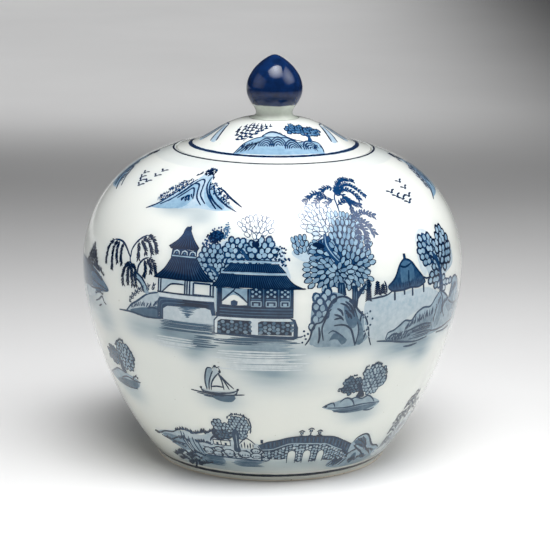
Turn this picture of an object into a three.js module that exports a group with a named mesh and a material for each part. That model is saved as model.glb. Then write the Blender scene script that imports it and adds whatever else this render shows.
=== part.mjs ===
// Lidded porcelain ginger jar: a thrown body on a turned foot ring, and a domed lid
// with a locating flange underneath and a peach-shaped knob on top.
// Millimetres, +Z up. The origin is the centre of the foot ring on the table.
import * as THREE from 'three';

// ---- Driving dimensions -------------------------------------------------------------
const roundSegments = 60;        // facets around the jar, a multiple of four
const seam = 0.3;                // gap kept where two pieces meet

const bellyRadius = 101.6;       // widest place, an eight inch jar
const bellyHeight = 105;
const wall = 4.8;                // thickness of the body at the belly

const footRadius = 62.6;         // corner where the foot meets the body
const footLineHeight = 2.7;
const footBaseRadius = 61.8;
const footInnerRadius = 54.6;
const footSplit = 0.05;          // part of the lower outline that belongs to the foot ring
const floorHeight = 11;          // inside floor of the jar

const shoulderRadius = 56.2;     // where the shoulder turns into the lip
const shoulderHeight = 165.2;
const lipHeight = 166.2;
const seatRadius = 51.9;         // upright wall around the ledge that the lid rests on
const seatHeight = 162.9;
const mouthRadius = 46;
const ledgeUnderside = 158.6;

const lidRadius = 51.4;
const lidEdgeHeight = 166.5;     // top corner of the lid's edge, level with the lip
const domeRadius = 44.8;         // where the flat brim turns up into the dome
const domeFootHeight = 168.2;
const crownRadius = 12.5;        // pad that the knob stands on
const crownHeight = 182.2;
const crownUnderside = 178.4;
const hollowRadius = 40.6;       // open underside of the dome

const flangeOuterRadius = 44.8;
const flangeInnerRadius = 40.8;
const flangeDepth = 11;

const neckRadius = 9.7;          // narrowest place under the knob
const neckHeight = 184.9;
const knobRadius = 14.9;
const knobHeight = 197.7;
const tipRadius = 2.2;
const tipHeight = 215;
const topHeight = 215.5;

// ---- Materials ----------------------------------------------------------------------
const whiteGlaze = new THREE.MeshStandardMaterial({ color: 0xf0f2ee, roughness: 0.12, metalness: 0 });
const cobaltGlaze = new THREE.MeshStandardMaterial({ color: 0x14305c, roughness: 0.08, metalness: 0 });
const bareClay = new THREE.MeshStandardMaterial({ color: 0xe6e1d6, roughness: 0.75, metalness: 0 });

// ---- Helpers ------------------------------------------------------------------------
// An outline is a list of [radius, height] pairs that climbs the outside of its piece.

// Points along a cubic curve, from fraction `from` to its end.
function curve(start, startHandle, endHandle, end, steps, from = 0) {
  const corners = [start, startHandle, endHandle, end].map(([radius, height]) => new THREE.Vector2(radius, height));
  const path = new THREE.CubicBezierCurve(...corners);
  const points = [];
  for (let step = 0; step <= steps; step += 1) {
    const point = path.getPoint(from + (1 - from) * step / steps);
    points.push([point.x, point.y]);
  }
  return points;
}

// Turns an outline about the jar's axis.
function turn(name, outline, material, segments = roundSegments) {
  const points = outline.map(([radius, height]) => new THREE.Vector2(radius, height));
  const geometry = new THREE.LatheGeometry(points, segments);
  geometry.rotateX(Math.PI / 2);
  const mesh = new THREE.Mesh(geometry, material);
  mesh.name = name;
  return mesh;
}

// ---- Body ---------------------------------------------------------------------------
const belly = [bellyRadius, bellyHeight];
const innerBelly = [bellyRadius - wall, bellyHeight];
const lowerOutline = (steps, from) =>
  curve([footRadius, footLineHeight], [80.9, 23], [bellyRadius, 67.7], belly, steps, from);
const [footJointRadius, footJointHeight] = lowerOutline(1, footSplit)[0];

function jarBody() {
  const lowerOutside = lowerOutline(11, footSplit);
  const shoulder = curve(belly, [bellyRadius, 133.9], [83.8, 156.3], [shoulderRadius, shoulderHeight], 10);
  const lip = [
    [seatRadius + 1.1, lipHeight - 0.1],
    [seatRadius + 0.5, lipHeight],
    [seatRadius, lipHeight - 0.5],
  ];
  const ledge = [
    [seatRadius, seatHeight],
    [mouthRadius + 0.6, seatHeight],
    [mouthRadius, seatHeight - 0.6],
    [mouthRadius, ledgeUnderside + 0.8],
    [mouthRadius + 0.8, ledgeUnderside],
  ];
  const shoulderInside = curve([53, ledgeUnderside], [79.5, 152.5], [innerBelly[0], 131.5], innerBelly, 7);
  const lowerInside = curve(innerBelly, [innerBelly[0], 61], [71, floorHeight], [46, floorHeight], 8);
  return turn('jar_body', [
    [0, footJointHeight],
    ...lowerOutside,
    ...shoulder.slice(1),
    ...lip,
    ...ledge,
    ...shoulderInside,
    ...lowerInside.slice(1),
    [0, floorHeight],
  ], whiteGlaze);
}

// The ring stands on a flat bare face, and its flank carries on the body's outline.
function footRing() {
  const top = footJointHeight - seam;
  return turn('foot_ring', [
    [footInnerRadius + 1, 0],
    [footBaseRadius - 0.6, 0],
    [footBaseRadius, 0.6],
    [footRadius, footLineHeight],
    [footJointRadius - seam, top],
    [footInnerRadius, top],
    [footInnerRadius, 1],
    [footInnerRadius + 1, 0],
  ], bareClay);
}

// ---- Lid ----------------------------------------------------------------------------
const brimUnderside = seatHeight + seam;

function lidDome() {
  const dome = curve([domeRadius, domeFootHeight], [32.7, 172], [27.8, 180.4], [crownRadius, crownHeight], 9);
  const hollow = curve([10, crownUnderside], [25.4, 176.6], [31.5, 167.5], [hollowRadius, 163.9], 7);
  return turn('lid_dome', [
    [hollowRadius, brimUnderside],
    [lidRadius, brimUnderside],
    [lidRadius, lidEdgeHeight - 0.7],
    [lidRadius - 0.6, lidEdgeHeight],
    ...dome,
    [0, crownHeight],
    [0, crownUnderside],
    ...hollow,
    [hollowRadius, brimUnderside],
  ], whiteGlaze);
}

// The flange keeps the lid centred: it drops into the mouth with a loose fit.
function lidFlange() {
  const top = brimUnderside - seam;
  const bottom = top - flangeDepth;
  return turn('lid_flange', [
    [flangeInnerRadius + 0.7, bottom],
    [flangeOuterRadius - 1.1, bottom],
    [flangeOuterRadius - 0.4, bottom + 0.8],
    [flangeOuterRadius, top],
    [flangeInnerRadius, top],
    [flangeInnerRadius, bottom + 0.7],
    [flangeInnerRadius + 0.7, bottom],
  ], whiteGlaze);
}

// A waisted neck under a peach: round below, nearly straight flanks, a blunt tip.
function lidKnob() {
  const base = crownHeight + seam;
  const neck = curve([crownRadius, base], [10.6, base + 0.3], [neckRadius, 183.4], [neckRadius, neckHeight], 4);
  const cup = curve([neckRadius, neckHeight], [neckRadius, 186.4], [11.2, 188.2], [11.9, 189.3], 3);
  const underside = curve([11.9, 189.3], [13, 190.9], [knobRadius, 194.1], [knobRadius, knobHeight], 5);
  const flank = curve([knobRadius, knobHeight], [knobRadius, 204.8], [8.8, 211.7], [tipRadius, tipHeight], 9);
  return turn('lid_knob', [
    [0, base],
    ...neck,
    ...cup.slice(1),
    ...underside.slice(1),
    ...flank.slice(1),
    [tipRadius / 2, topHeight - 0.15],
    [0, topHeight],
  ], cobaltGlaze, 40);
}

// ---- Assembly -----------------------------------------------------------------------
const jar = new THREE.Group();
jar.add(jarBody(), footRing());

const lid = new THREE.Group();
lid.add(lidDome(), lidFlange(), lidKnob());

const gingerJar = new THREE.Group();
gingerJar.add(jar, lid);

export default gingerJar;
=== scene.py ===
"""Lidded blue and white ginger jar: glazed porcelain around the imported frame.

Outlines and drawings are in millimetres and are turned into metres as they are built. The jar's
axis is the Z axis, it stands on z = 0, and the front of its painting faces -Y.
"""

import math
import random

import bpy
import numpy as np
from mathutils import Matrix, Vector
from mathutils.geometry import delaunay_2d_cdt


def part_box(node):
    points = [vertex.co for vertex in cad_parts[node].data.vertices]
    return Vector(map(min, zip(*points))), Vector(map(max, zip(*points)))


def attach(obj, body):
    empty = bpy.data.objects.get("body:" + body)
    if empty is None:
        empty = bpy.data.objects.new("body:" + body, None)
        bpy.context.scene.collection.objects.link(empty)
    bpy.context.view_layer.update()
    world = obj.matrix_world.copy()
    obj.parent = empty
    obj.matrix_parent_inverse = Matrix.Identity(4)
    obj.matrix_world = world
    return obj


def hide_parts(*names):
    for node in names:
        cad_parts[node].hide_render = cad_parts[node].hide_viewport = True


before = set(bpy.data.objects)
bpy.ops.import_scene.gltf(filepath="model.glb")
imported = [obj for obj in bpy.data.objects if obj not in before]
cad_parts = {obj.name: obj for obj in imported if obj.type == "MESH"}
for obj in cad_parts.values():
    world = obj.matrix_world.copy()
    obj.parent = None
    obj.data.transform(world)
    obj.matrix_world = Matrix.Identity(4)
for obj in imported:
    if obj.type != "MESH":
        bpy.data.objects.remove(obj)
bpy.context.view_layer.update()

MM = 0.001

# ---- Dimensions read from the frame, in millimetres ------------------------------------
def reach(node):
    """A turned node's greatest radius."""
    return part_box(node)[1][0] / MM


def top(node):
    """The height of a node's highest point."""
    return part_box(node)[1][2] / MM


def bottom(node):
    """The height of a node's lowest point."""
    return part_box(node)[0][2] / MM


BELLY_R = reach("jar_body")
LIP_Z = top("jar_body")
UNDERSIDE_Z = bottom("jar_body")
LID_R = reach("lid_dome")
BRIM_UNDERSIDE_Z = bottom("lid_dome")
CROWN_Z = top("lid_dome")
FLANGE_R = reach("lid_flange")
FLANGE_Z = bottom("lid_flange")
KNOB_R = reach("lid_knob")
KNOB_BASE_Z = bottom("lid_knob")
TIP_Z = top("lid_knob")

# Measured from those.
SEAT_R = LID_R + 0.5             # upright wall around the ledge that the lid rests on
SEAT_Z = BRIM_UNDERSIDE_Z - 0.3
LEDGE_Z = SEAT_Z - 4.3           # underside of the ledge
CROWN_UNDERSIDE_Z = CROWN_Z - 3.8

# Sizes that the frame's boxes don't show. They are the CAD's own.
BELLY_Z = 105
WALL = 4.8
FLOOR_Z = 11
FOOT_R, FOOT_LINE_Z = 62.6, 2.7
FOOT_INNER_R = 54.6
SHOULDER_R = 56.2
MOUTH_R = 46
LEDGE_R = 53                     # where the ledge's underside meets the wall
DOME_R, DOME_FOOT_Z = 44.8, 168.2
CROWN_R = 12.5
HOLLOW_R, HOLLOW_Z = 40.6, 163.9
NECK_R = 9.7

# The painted scene is drawn flat, and goes twice round the jar and the lid.
JAR_DRAWING_R = 100              # lengths around the jar are measured at this radius
LID_DRAWING_R = 40
HALF_TURN = math.pi * JAR_DRAWING_R
LID_HALF_TURN = math.pi * LID_DRAWING_R

# ---- Outlines --------------------------------------------------------------------------
CORNER_STEPS = 5                 # straight pieces in a rounded corner
TOUCHING = 1e-4                  # points closer than this are one


def curve(start, start_handle, end_handle, end, steps=40):
    """Points along a cubic curve between two ends with a handle each."""
    corners = np.array([start, start_handle, end_handle, end], float)
    points = []
    for t in np.linspace(0, 1, steps + 1):
        weights = ((1 - t) ** 3, 3 * t * (1 - t) ** 2, 3 * t * t * (1 - t), t ** 3)
        points.append(tuple(np.dot(weights, corners)))
    return points


def spaced(points):
    """The same points without repeats."""
    pairs = zip(points, points[1:])
    return points[:1] + [point for before, point in pairs if math.dist(before, point) > TOUCHING]


def rounded(points, radius):
    """A run of straight lines with its inner corners rounded."""
    made = [points[0]]
    for before, corner, after in zip(points, points[1:], points[2:]):
        corner = Vector(corner)
        arm_in = Vector(before) - corner
        arm_out = Vector(after) - corner
        cut = min(radius, arm_in.length / 2, arm_out.length / 2)
        start = corner + arm_in.normalized() * cut
        end = corner + arm_out.normalized() * cut
        for t in np.linspace(0, 1, CORNER_STEPS + 1):
            point = start * (1 - t) ** 2 + corner * 2 * t * (1 - t) + end * t * t
            made.append(tuple(point))
    made.append(points[-1])
    return spaced(made)


LOWER = curve((FOOT_R, FOOT_LINE_Z), (80.9, 23), (BELLY_R, 67.7), (BELLY_R, BELLY_Z), 100)
UPPER = curve((BELLY_R, BELLY_Z), (BELLY_R, 133.9), (83.8, 156.3), (SHOULDER_R, LIP_Z - 1), 80)
JOINT = next(i for i, point in enumerate(LOWER) if point[1] >= UNDERSIDE_Z)
DOME = curve((DOME_R, DOME_FOOT_Z), (32.7, 172), (27.8, 180.4), (CROWN_R, CROWN_Z), 60)

LIP = rounded([UPPER[-1], (SEAT_R + 0.9, LIP_Z), (SEAT_R, LIP_Z), (SEAT_R, SEAT_Z)], 0.5)
LID_OUTSIDE = rounded([(LID_R, LIP_Z - 0.4), (LID_R, LIP_Z + 0.3), DOME[0], DOME[2]], 0.9) + DOME[3:]

# ---- Surfaces --------------------------------------------------------------------------
class Surface:
    """A turned outline to draw on: u runs round it, s climbs along it, both in millimetres."""

    def __init__(self, outline, drawing_radius):
        self.points = np.array(outline, float)
        steps = np.hypot(*np.diff(self.points, axis=0).T)
        self.s = np.concatenate([[0], np.cumsum(steps)])
        self.drawing_radius = drawing_radius

    def place(self, u, s, lift):
        """Points in metres and their normals. u = 0 is the front."""
        tangents = np.gradient(self.points, self.s, axis=0)
        radius = np.interp(s, self.s, self.points[:, 0])
        height = np.interp(s, self.s, self.points[:, 1])
        outward = np.interp(s, self.s, tangents[:, 1])
        upward = -np.interp(s, self.s, tangents[:, 0])
        length = np.hypot(outward, upward)
        outward, upward = outward / length, upward / length
        angle = u / self.drawing_radius - math.pi / 2
        across, along = np.cos(angle), np.sin(angle)
        radius = radius + lift * outward
        points = np.stack([radius * across, radius * along, height + lift * upward], axis=1)
        normals = np.stack([outward * across, outward * along, upward], axis=1)
        return points * MM, normals


JAR_SURFACE = Surface(LOWER + UPPER[1:] + LIP[1:], JAR_DRAWING_R)
LID_SURFACE = Surface(LID_OUTSIDE, LID_DRAWING_R)
LIP_S = JAR_SURFACE.s[len(LOWER + UPPER) - 2]       # where the shoulder turns into the lip


def new_object(name, points, faces, normals):
    """A smooth mesh object with the given normals."""
    mesh = bpy.data.meshes.new(name)
    mesh.from_pydata([tuple(point) for point in points], [], faces)
    mesh.shade_smooth()
    mesh.normals_split_custom_set_from_vertices([tuple(normal) for normal in normals])
    thing = bpy.data.objects.new(name, mesh)
    bpy.context.scene.collection.objects.link(thing)
    return thing


def joined(runs):
    """One outline through all runs, and for each of its pieces the run that owns it."""
    outline = [runs[0][1][0]]
    owners = []
    for index, (_, points) in enumerate(runs):
        outline += points[1:] if math.dist(outline[-1], points[0]) < TOUCHING else points
        owners += [index] * (len(outline) - 1 - len(owners))
    return np.array(outline, float), owners


def turned(name, runs, segments=256):
    """One closed skin. Each run is a material and the outline points that it covers."""
    outline, owners = joined(runs)
    is_ring = math.dist(outline[0], outline[-1]) < TOUCHING
    if is_ring:
        outline = outline[:-1]
        tangents = np.roll(outline, -1, axis=0) - np.roll(outline, 1, axis=0)
    else:
        tangents = np.gradient(outline, axis=0)
    tangents /= np.linalg.norm(tangents, axis=1)[:, None]
    angles = np.arange(segments) * 2 * math.pi / segments - math.pi / 2
    points, normals, rings = [], [], []
    for (radius, height), (across, up) in zip(outline, tangents):
        on_axis = radius < TOUCHING
        first = len(points)
        for angle in angles[:1] if on_axis else angles:
            cosine, sine = math.cos(angle), math.sin(angle)
            points.append((radius * cosine * MM, radius * sine * MM, height * MM))
            normals.append((0, 0, -across) if on_axis else (up * cosine, up * sine, -across))
        rings.append([first] * segments if on_axis else range(first, first + segments))
    if is_ring:
        rings.append(rings[0])
    faces, materials = [], []
    for lower, upper, owner in zip(rings, rings[1:], owners):
        for here in range(segments):
            after = (here + 1) % segments
            corners = (lower[here], lower[after], upper[after], upper[here])
            faces.append(tuple(dict.fromkeys(corners)))
            materials.append(owner)
    skin = new_object(name, points, faces, normals)
    for material, _ in runs:
        skin.data.materials.append(material)
    skin.data.polygons.foreach_set("material_index", materials)
    return skin


# ---- Materials -------------------------------------------------------------------------
class Nodes:
    """Short calls for building a node tree."""

    def __init__(self, name):
        self.material = bpy.data.materials.new(name)
        self.material.use_nodes = True
        self.tree = self.material.node_tree
        self.surface = self.tree.nodes["Principled BSDF"]
        self.place = self.add("ShaderNodeTexCoord").outputs["Object"]

    def add(self, kind, **settings):
        """A new node with its settings."""
        node = self.tree.nodes.new(kind)
        for key, value in settings.items():
            setattr(node, key, value)
        return node

    def put(self, value, socket):
        """Links an output to a socket, or sets the socket's own value."""
        if isinstance(value, bpy.types.NodeSocket):
            self.tree.links.new(value, socket)
        else:
            socket.default_value = value

    def height(self):
        """The height of the shaded point, in metres."""
        node = self.add("ShaderNodeSeparateXYZ")
        self.put(self.place, node.inputs["Vector"])
        return node.outputs["Z"]

    def noise(self, size_mm, detail=3, stretch=(1, 1, 1)):
        """Soft noise from 0 to 1 whose features are about size_mm across."""
        mapping = self.add("ShaderNodeMapping")
        mapping.inputs["Scale"].default_value = stretch
        self.put(self.place, mapping.inputs["Vector"])
        texture = self.add("ShaderNodeTexNoise")
        texture.inputs["Scale"].default_value = 1 / (size_mm * MM)
        texture.inputs["Detail"].default_value = detail
        self.put(mapping.outputs["Vector"], texture.inputs["Vector"])
        return texture.outputs["Fac"]

    def math(self, operation, *values, clamp=False):
        """One operation on numbers or outputs."""
        node = self.add("ShaderNodeMath", operation=operation, use_clamp=clamp)
        for value, socket in zip(values, node.inputs):
            self.put(value, socket)
        return node.outputs["Value"]

    def spread(self, value, low, high):
        """Maps 0 to 1 onto low to high."""
        return self.math("MULTIPLY_ADD", value, high - low, low)

    def ramp(self, value, stops):
        """Colours for rising values. A stop is a place from 0 to 1 and a colour."""
        node = self.add("ShaderNodeValToRGB")
        elements = node.color_ramp.elements
        while len(elements) < len(stops):
            elements.new(0.5)
        for element, (place, tint) in zip(elements, stops):
            element.position = place
            element.color = (*tint, 1)
        self.put(value, node.inputs["Fac"])
        return node.outputs["Color"]

    def mix(self, amount, first, second, blend="MIX"):
        """Two colours mixed. A mix node's colour sockets have no names of their own, so they go by number."""
        node = self.add("ShaderNodeMix", data_type="RGBA", blend_type=blend)
        self.put(amount, node.inputs["Factor"])
        self.put(first, node.inputs[6])
        self.put(second, node.inputs[7])
        return node.outputs[2]

    def attribute(self, name):
        """A value that the mesh carries under this name."""
        return self.add("ShaderNodeAttribute", attribute_name=name).outputs["Fac"]

    def finish(self, shade, roughness, bump=None, bump_mm=0.0, coat=0.0, shine=0.5):
        """Sets the surface's inputs and gives the finished material."""
        self.put(shade, self.surface.inputs["Base Color"])
        self.put(roughness, self.surface.inputs["Roughness"])
        self.put(shine, self.surface.inputs["Specular IOR Level"])
        self.put(coat, self.surface.inputs["Coat Weight"])
        self.put(roughness, self.surface.inputs["Coat Roughness"])
        if bump is not None:
            node = self.add("ShaderNodeBump")
            node.inputs["Distance"].default_value = bump_mm * MM
            self.put(bump, node.inputs["Height"])
            self.put(node.outputs["Normal"], self.surface.inputs["Normal"])
        return self.material


def colour(red, green, blue):
    """A linear colour from screen values of 0 to 255."""
    def linear(value):
        part = value / 255
        return part / 12.92 if part <= 0.04045 else ((part + 0.055) / 1.055) ** 2.4
    return linear(red), linear(green), linear(blue)


# Cobalt from bare glaze to the deepest ink, by the strength of a wash or a stroke.
WHITE = colour(233, 235, 230)
INK_STOPS = [
    (0.00, WHITE),
    (0.14, colour(203, 216, 225)),
    (0.38, colour(143, 177, 202)),
    (0.60, colour(68, 113, 152)),
    (0.80, colour(18, 61, 107)),
    (1.00, colour(2, 26, 60)),
]
# A greyer, darker copy of the ink ramp: the washes' own colour, and painted shade for the ink low on the jar.
GREY_INK_STOPS = [
    (0.00, WHITE),
    (0.14, colour(199, 208, 210)),
    (0.38, colour(136, 157, 168)),
    (0.60, colour(62, 90, 109)),
    (0.80, colour(24, 54, 79)),
    (1.00, colour(4, 28, 50)),
]
# Painted shade: the ink turns from the grey copy to the blue one between these heights.
GREY_INK_Z, BLUE_INK_Z = 85, 150      # the cobalt is grey below the first height, blue above the second
GLAZE_ROUGHNESS = 0.10
GLAZE_COAT = 0.75


def ripple(nodes):
    """The slow waviness of a poured glaze."""
    return nodes.noise(28, detail=1)


def glassy(nodes, shade):
    """Finishes a colour as porcelain under a clear glaze."""
    roughness = nodes.spread(nodes.noise(9), GLAZE_ROUGHNESS - 0.02, GLAZE_ROUGHNESS + 0.02)
    return nodes.finish(shade, roughness, ripple(nodes), bump_mm=0.05, coat=GLAZE_COAT, shine=0.1)


def glaze(name):
    """Clear glaze over white porcelain: soft cobalt washes where the skin says so, and painted shade that
    darkens it towards the bottom.
    """
    nodes = Nodes(name)
    streaks = nodes.noise(14, detail=4, stretch=(0.5, 0.5, 3.0))
    wash = nodes.math("MULTIPLY", nodes.attribute("wash"), nodes.spread(streaks, 0.55, 1.45))
    washed = nodes.ramp(wash, GREY_INK_STOPS)
    tint = nodes.ramp(nodes.noise(45), [(0.3, colour(255, 255, 255)), (0.7, colour(251, 253, 255))])
    specks = nodes.ramp(nodes.noise(1.6, detail=0), [(0.86, (1, 1, 1)), (0.89, colour(232, 232, 228))])
    # Painted shade: the white is darkened towards the bottom of the jar, where less light reaches it.
    climb = nodes.math("DIVIDE", nodes.height(), BLUE_INK_Z * MM, clamp=True)
    low_painted_shade = nodes.mix(climb, (*colour(240, 240, 234), 1), (1, 1, 1, 1))
    surface = nodes.mix(1.0, nodes.mix(1.0, washed, tint, "MULTIPLY"), specks, "MULTIPLY")
    return glassy(nodes, nodes.mix(1.0, surface, low_painted_shade, "MULTIPLY"))


def ink(name):
    """Cobalt brushwork under the glaze: greyer low on the jar as painted shade, and pooled unevenly by the
    brush.
    """
    nodes = Nodes(name)
    pools = nodes.spread(nodes.noise(2.2, detail=2), -0.10, 0.10)
    drift = nodes.spread(nodes.noise(16, detail=2), -0.08, 0.12)
    tone = nodes.math("ADD", nodes.attribute("tone"), nodes.math("ADD", pools, drift), clamp=True)
    # Painted shade: the ink is mixed towards the grey copy lower down the jar.
    climb = nodes.math("SUBTRACT", nodes.height(), GREY_INK_Z * MM)
    blue = nodes.math("DIVIDE", climb, (BLUE_INK_Z - GREY_INK_Z) * MM, clamp=True)
    return glassy(nodes, nodes.mix(blue, nodes.ramp(tone, GREY_INK_STOPS), nodes.ramp(tone, INK_STOPS)))


def dipped(name):
    """The knob: pale greyish celadon at the neck, partly pooled glaze and partly painted shade under the
    knob, and deep cobalt above an edge that the glaze has crept to.
    """
    nodes = Nodes(name)
    edge = nodes.spread(nodes.noise(7, detail=2), (KNOB_BASE_Z + 6.2) * MM, (KNOB_BASE_Z + 7.4) * MM)
    cover = nodes.math("DIVIDE", nodes.math("SUBTRACT", nodes.height(), edge), 0.5 * MM, clamp=True)
    deep = nodes.ramp(nodes.noise(4, detail=4), [(0.3, colour(8, 30, 66)), (0.7, colour(14, 44, 92))])
    # Partly painted shade: the neck colour is darkened where the knob shades it.
    pooled_and_shaded = nodes.ramp(nodes.noise(5), [(0.3, colour(193, 201, 190)), (0.7, colour(211, 217, 208))])
    roughness = nodes.spread(nodes.noise(6), GLAZE_ROUGHNESS - 0.04, GLAZE_ROUGHNESS)
    shade = nodes.mix(cover, pooled_and_shaded, deep)
    return nodes.finish(shade, roughness, ripple(nodes), bump_mm=0.04, coat=0.38, shine=0.2)


def clay(name):
    """Bare fired porcelain, ground smooth, with a fine grain and a few brown specks."""
    nodes = Nodes(name)
    base = nodes.ramp(nodes.noise(6, detail=5), [(0.3, colour(222, 212, 194)), (0.7, colour(236, 229, 214))])
    specks = nodes.ramp(nodes.noise(0.9, detail=1), [(0.70, (1, 1, 1)), (0.74, colour(176, 150, 122))])
    grain = nodes.noise(0.35)
    shade = nodes.mix(1.0, base, specks, "MULTIPLY")
    return nodes.finish(shade, nodes.spread(grain, 0.6, 0.85), grain, bump_mm=0.03)


JAR_GLAZE = glaze("white_glaze")
INK = ink("cobalt_ink")
KNOB_GLAZE = dipped("cobalt_knob_glaze")
CLAY = clay("bare_porcelain")


# ---- Turned skins ----------------------------------------------------------------------
def stands_for(skin, body, node):
    """Puts a skin on its body, in the place of a CAD node."""
    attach(skin, body)
    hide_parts(node)
    return skin


def jar_skin():
    """Body: outside up to the lip, a ledge wiped bare for the lid, and the glazed inside."""
    joint_r, joint_z = LOWER[JOINT]
    underside = curve((0, joint_z + 0.9), (20, joint_z + 0.9), (44, joint_z + 0.3), (52, joint_z), 16)
    outside = LOWER[JOINT:] + UPPER[1:] + LIP[1:]
    ledge = rounded([(SEAT_R, SEAT_Z), (MOUTH_R, SEAT_Z), (MOUTH_R, LEDGE_Z), (LEDGE_R, LEDGE_Z)], 0.6)
    inner_r = BELLY_R - WALL
    inside = curve((LEDGE_R, LEDGE_Z), (79.5, 152.5), (inner_r, 131.5), (inner_r, BELLY_Z))
    inside += curve((inner_r, BELLY_Z), (inner_r, 61), (71, FLOOR_Z), (46, FLOOR_Z), 50)[1:]
    runs = [
        (JAR_GLAZE, underside + [(joint_r - 0.05, joint_z)] + outside),
        (CLAY, ledge),
        (JAR_GLAZE, inside + [(30, FLOOR_Z), (0, FLOOR_Z)]),
    ]
    return stands_for(turned("jar_skin", runs, 288), "jar", "jar_body")


def foot_skin():
    """Foot ring: a bare ground face to stand on, and glaze down to the line round the foot."""
    joint_r, joint_z = LOWER[JOINT]
    base_r = FOOT_R - 0.8
    face = rounded([(FOOT_INNER_R, 1.6), (FOOT_INNER_R, 0), (base_r, 0), (base_r, 0.9)], 0.7)
    flank = [face[-1]] + LOWER[:JOINT + 1]
    inside = [flank[-1], (joint_r - 0.05, joint_z), (FOOT_INNER_R, joint_z), face[0]]
    runs = [(CLAY, face), (JAR_GLAZE, flank), (JAR_GLAZE, inside)]
    return stands_for(turned("foot_skin", runs), "jar", "foot_ring")


def lid_skin():
    """Lid dome: brim, dome and crown outside, an open hollow inside, a bare seat underneath."""
    seat = rounded([(HOLLOW_R, BRIM_UNDERSIDE_Z), (LID_R, BRIM_UNDERSIDE_Z), (LID_R, LIP_Z - 0.8)], 0.5)
    hollow = curve((10, CROWN_UNDERSIDE_Z), (25.4, 176.6), (31.5, 167.5), (HOLLOW_R, HOLLOW_Z), 30)
    runs = [
        (CLAY, seat),
        (JAR_GLAZE, [seat[-1]] + LID_OUTSIDE + [(0, CROWN_Z)]),
        (JAR_GLAZE, [(0, CROWN_UNDERSIDE_Z)] + hollow),
        (CLAY, [hollow[-1], seat[0]]),
    ]
    return stands_for(turned("lid_skin", runs), "lid", "lid_dome")


def flange_skin():
    """Locating flange: drops into the mouth, with its lower edge rounded by a sponge."""
    high, low = BRIM_UNDERSIDE_Z, FLANGE_Z
    inner = FLANGE_R - 4
    corners = [(inner, high), (inner, low), (FLANGE_R - 0.3, low), (FLANGE_R, high), (inner, high)]
    skin = turned("flange_skin", [(CLAY, rounded(corners, 1.4))])
    return stands_for(skin, "lid", "lid_flange")


def knob_skin():
    """Knob: a waisted neck that flows out of the crown, under a peach with a blunt tip."""
    base = KNOB_BASE_Z
    foot = (13.2, base - 0.3)
    waist = (NECK_R, base + 2.4)
    widest = (KNOB_R, base + 15.2)
    outline = [(0, base - 0.3), foot]
    outline += curve(foot, (10.8, base + 0.2), (NECK_R, base + 0.9), waist, 14)[1:]
    outline += curve(outline[-1], (NECK_R, base + 3.9), (11.2, base + 5.7), (11.9, base + 6.8), 14)[1:]
    outline += curve(outline[-1], (13, base + 8.4), (KNOB_R, base + 11.6), widest, 20)[1:]
    outline += curve(widest, (KNOB_R, base + 22.3), (8.8, base + 29.2), (2.2, TIP_Z - 0.5))[1:]
    outline += curve(outline[-1], (1.5, TIP_Z - 0.2), (0.8, TIP_Z), (0, TIP_Z), 6)[1:]
    skin = turned("knob_skin", [(KNOB_GLAZE, outline)], 128)
    return stands_for(skin, "lid", "lid_knob")


painted_skin = jar_skin()
foot_skin()
lid_skin()
flange_skin()
knob_skin()


# ---- Brushwork -------------------------------------------------------------------------
# Tones run from 0, bare glaze, to 1, the deepest cobalt.
BARE, MIST, WASH, PALE, MID, STRONG, LINE, DARK = 0, 0.14, 0.26, 0.38, 0.6, 0.78, 0.9, 1
STRAIGHT_STEP = 2.5              # longest side of a straight-edged shape, so that it follows the curve


def flow(points, closed=False, step=1.5):
    """A smooth line through given points."""
    count = len(points)
    made = []
    for i in range(count if closed else count - 1):
        near = [i - 1, i, i + 1, i + 2]
        near = [n % count if closed else min(max(n, 0), count - 1) for n in near]
        corners = [points[n] for n in near]
        steps = max(1, round(math.dist(corners[1], corners[2]) / step))
        for t in np.arange(steps) / steps:
            weights = (-t + 2 * t * t - t ** 3, 2 - 5 * t * t + 3 * t ** 3,
                       t + 4 * t * t - 3 * t ** 3, t ** 3 - t * t)
            made.append(tuple(sum(w * c[axis] for w, c in zip(weights, corners)) / 2 for axis in (0, 1)))
    return made if closed else made + [points[-1]]


def block(left, low, right, high):
    """The corners of an upright rectangle."""
    return [(left, low), (right, low), (right, high), (left, high)]


def straight(points):
    """Closed straight-edged outline with points close enough to follow the jar's curve."""
    made = []
    for start, end in zip(points, points[1:] + points[:1]):
        steps = max(1, math.ceil(math.dist(start, end) / STRAIGHT_STEP))
        for t in np.arange(steps) / steps:
            made.append(tuple(a + (b - a) * t for a, b in zip(start, end)))
    return made


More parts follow.
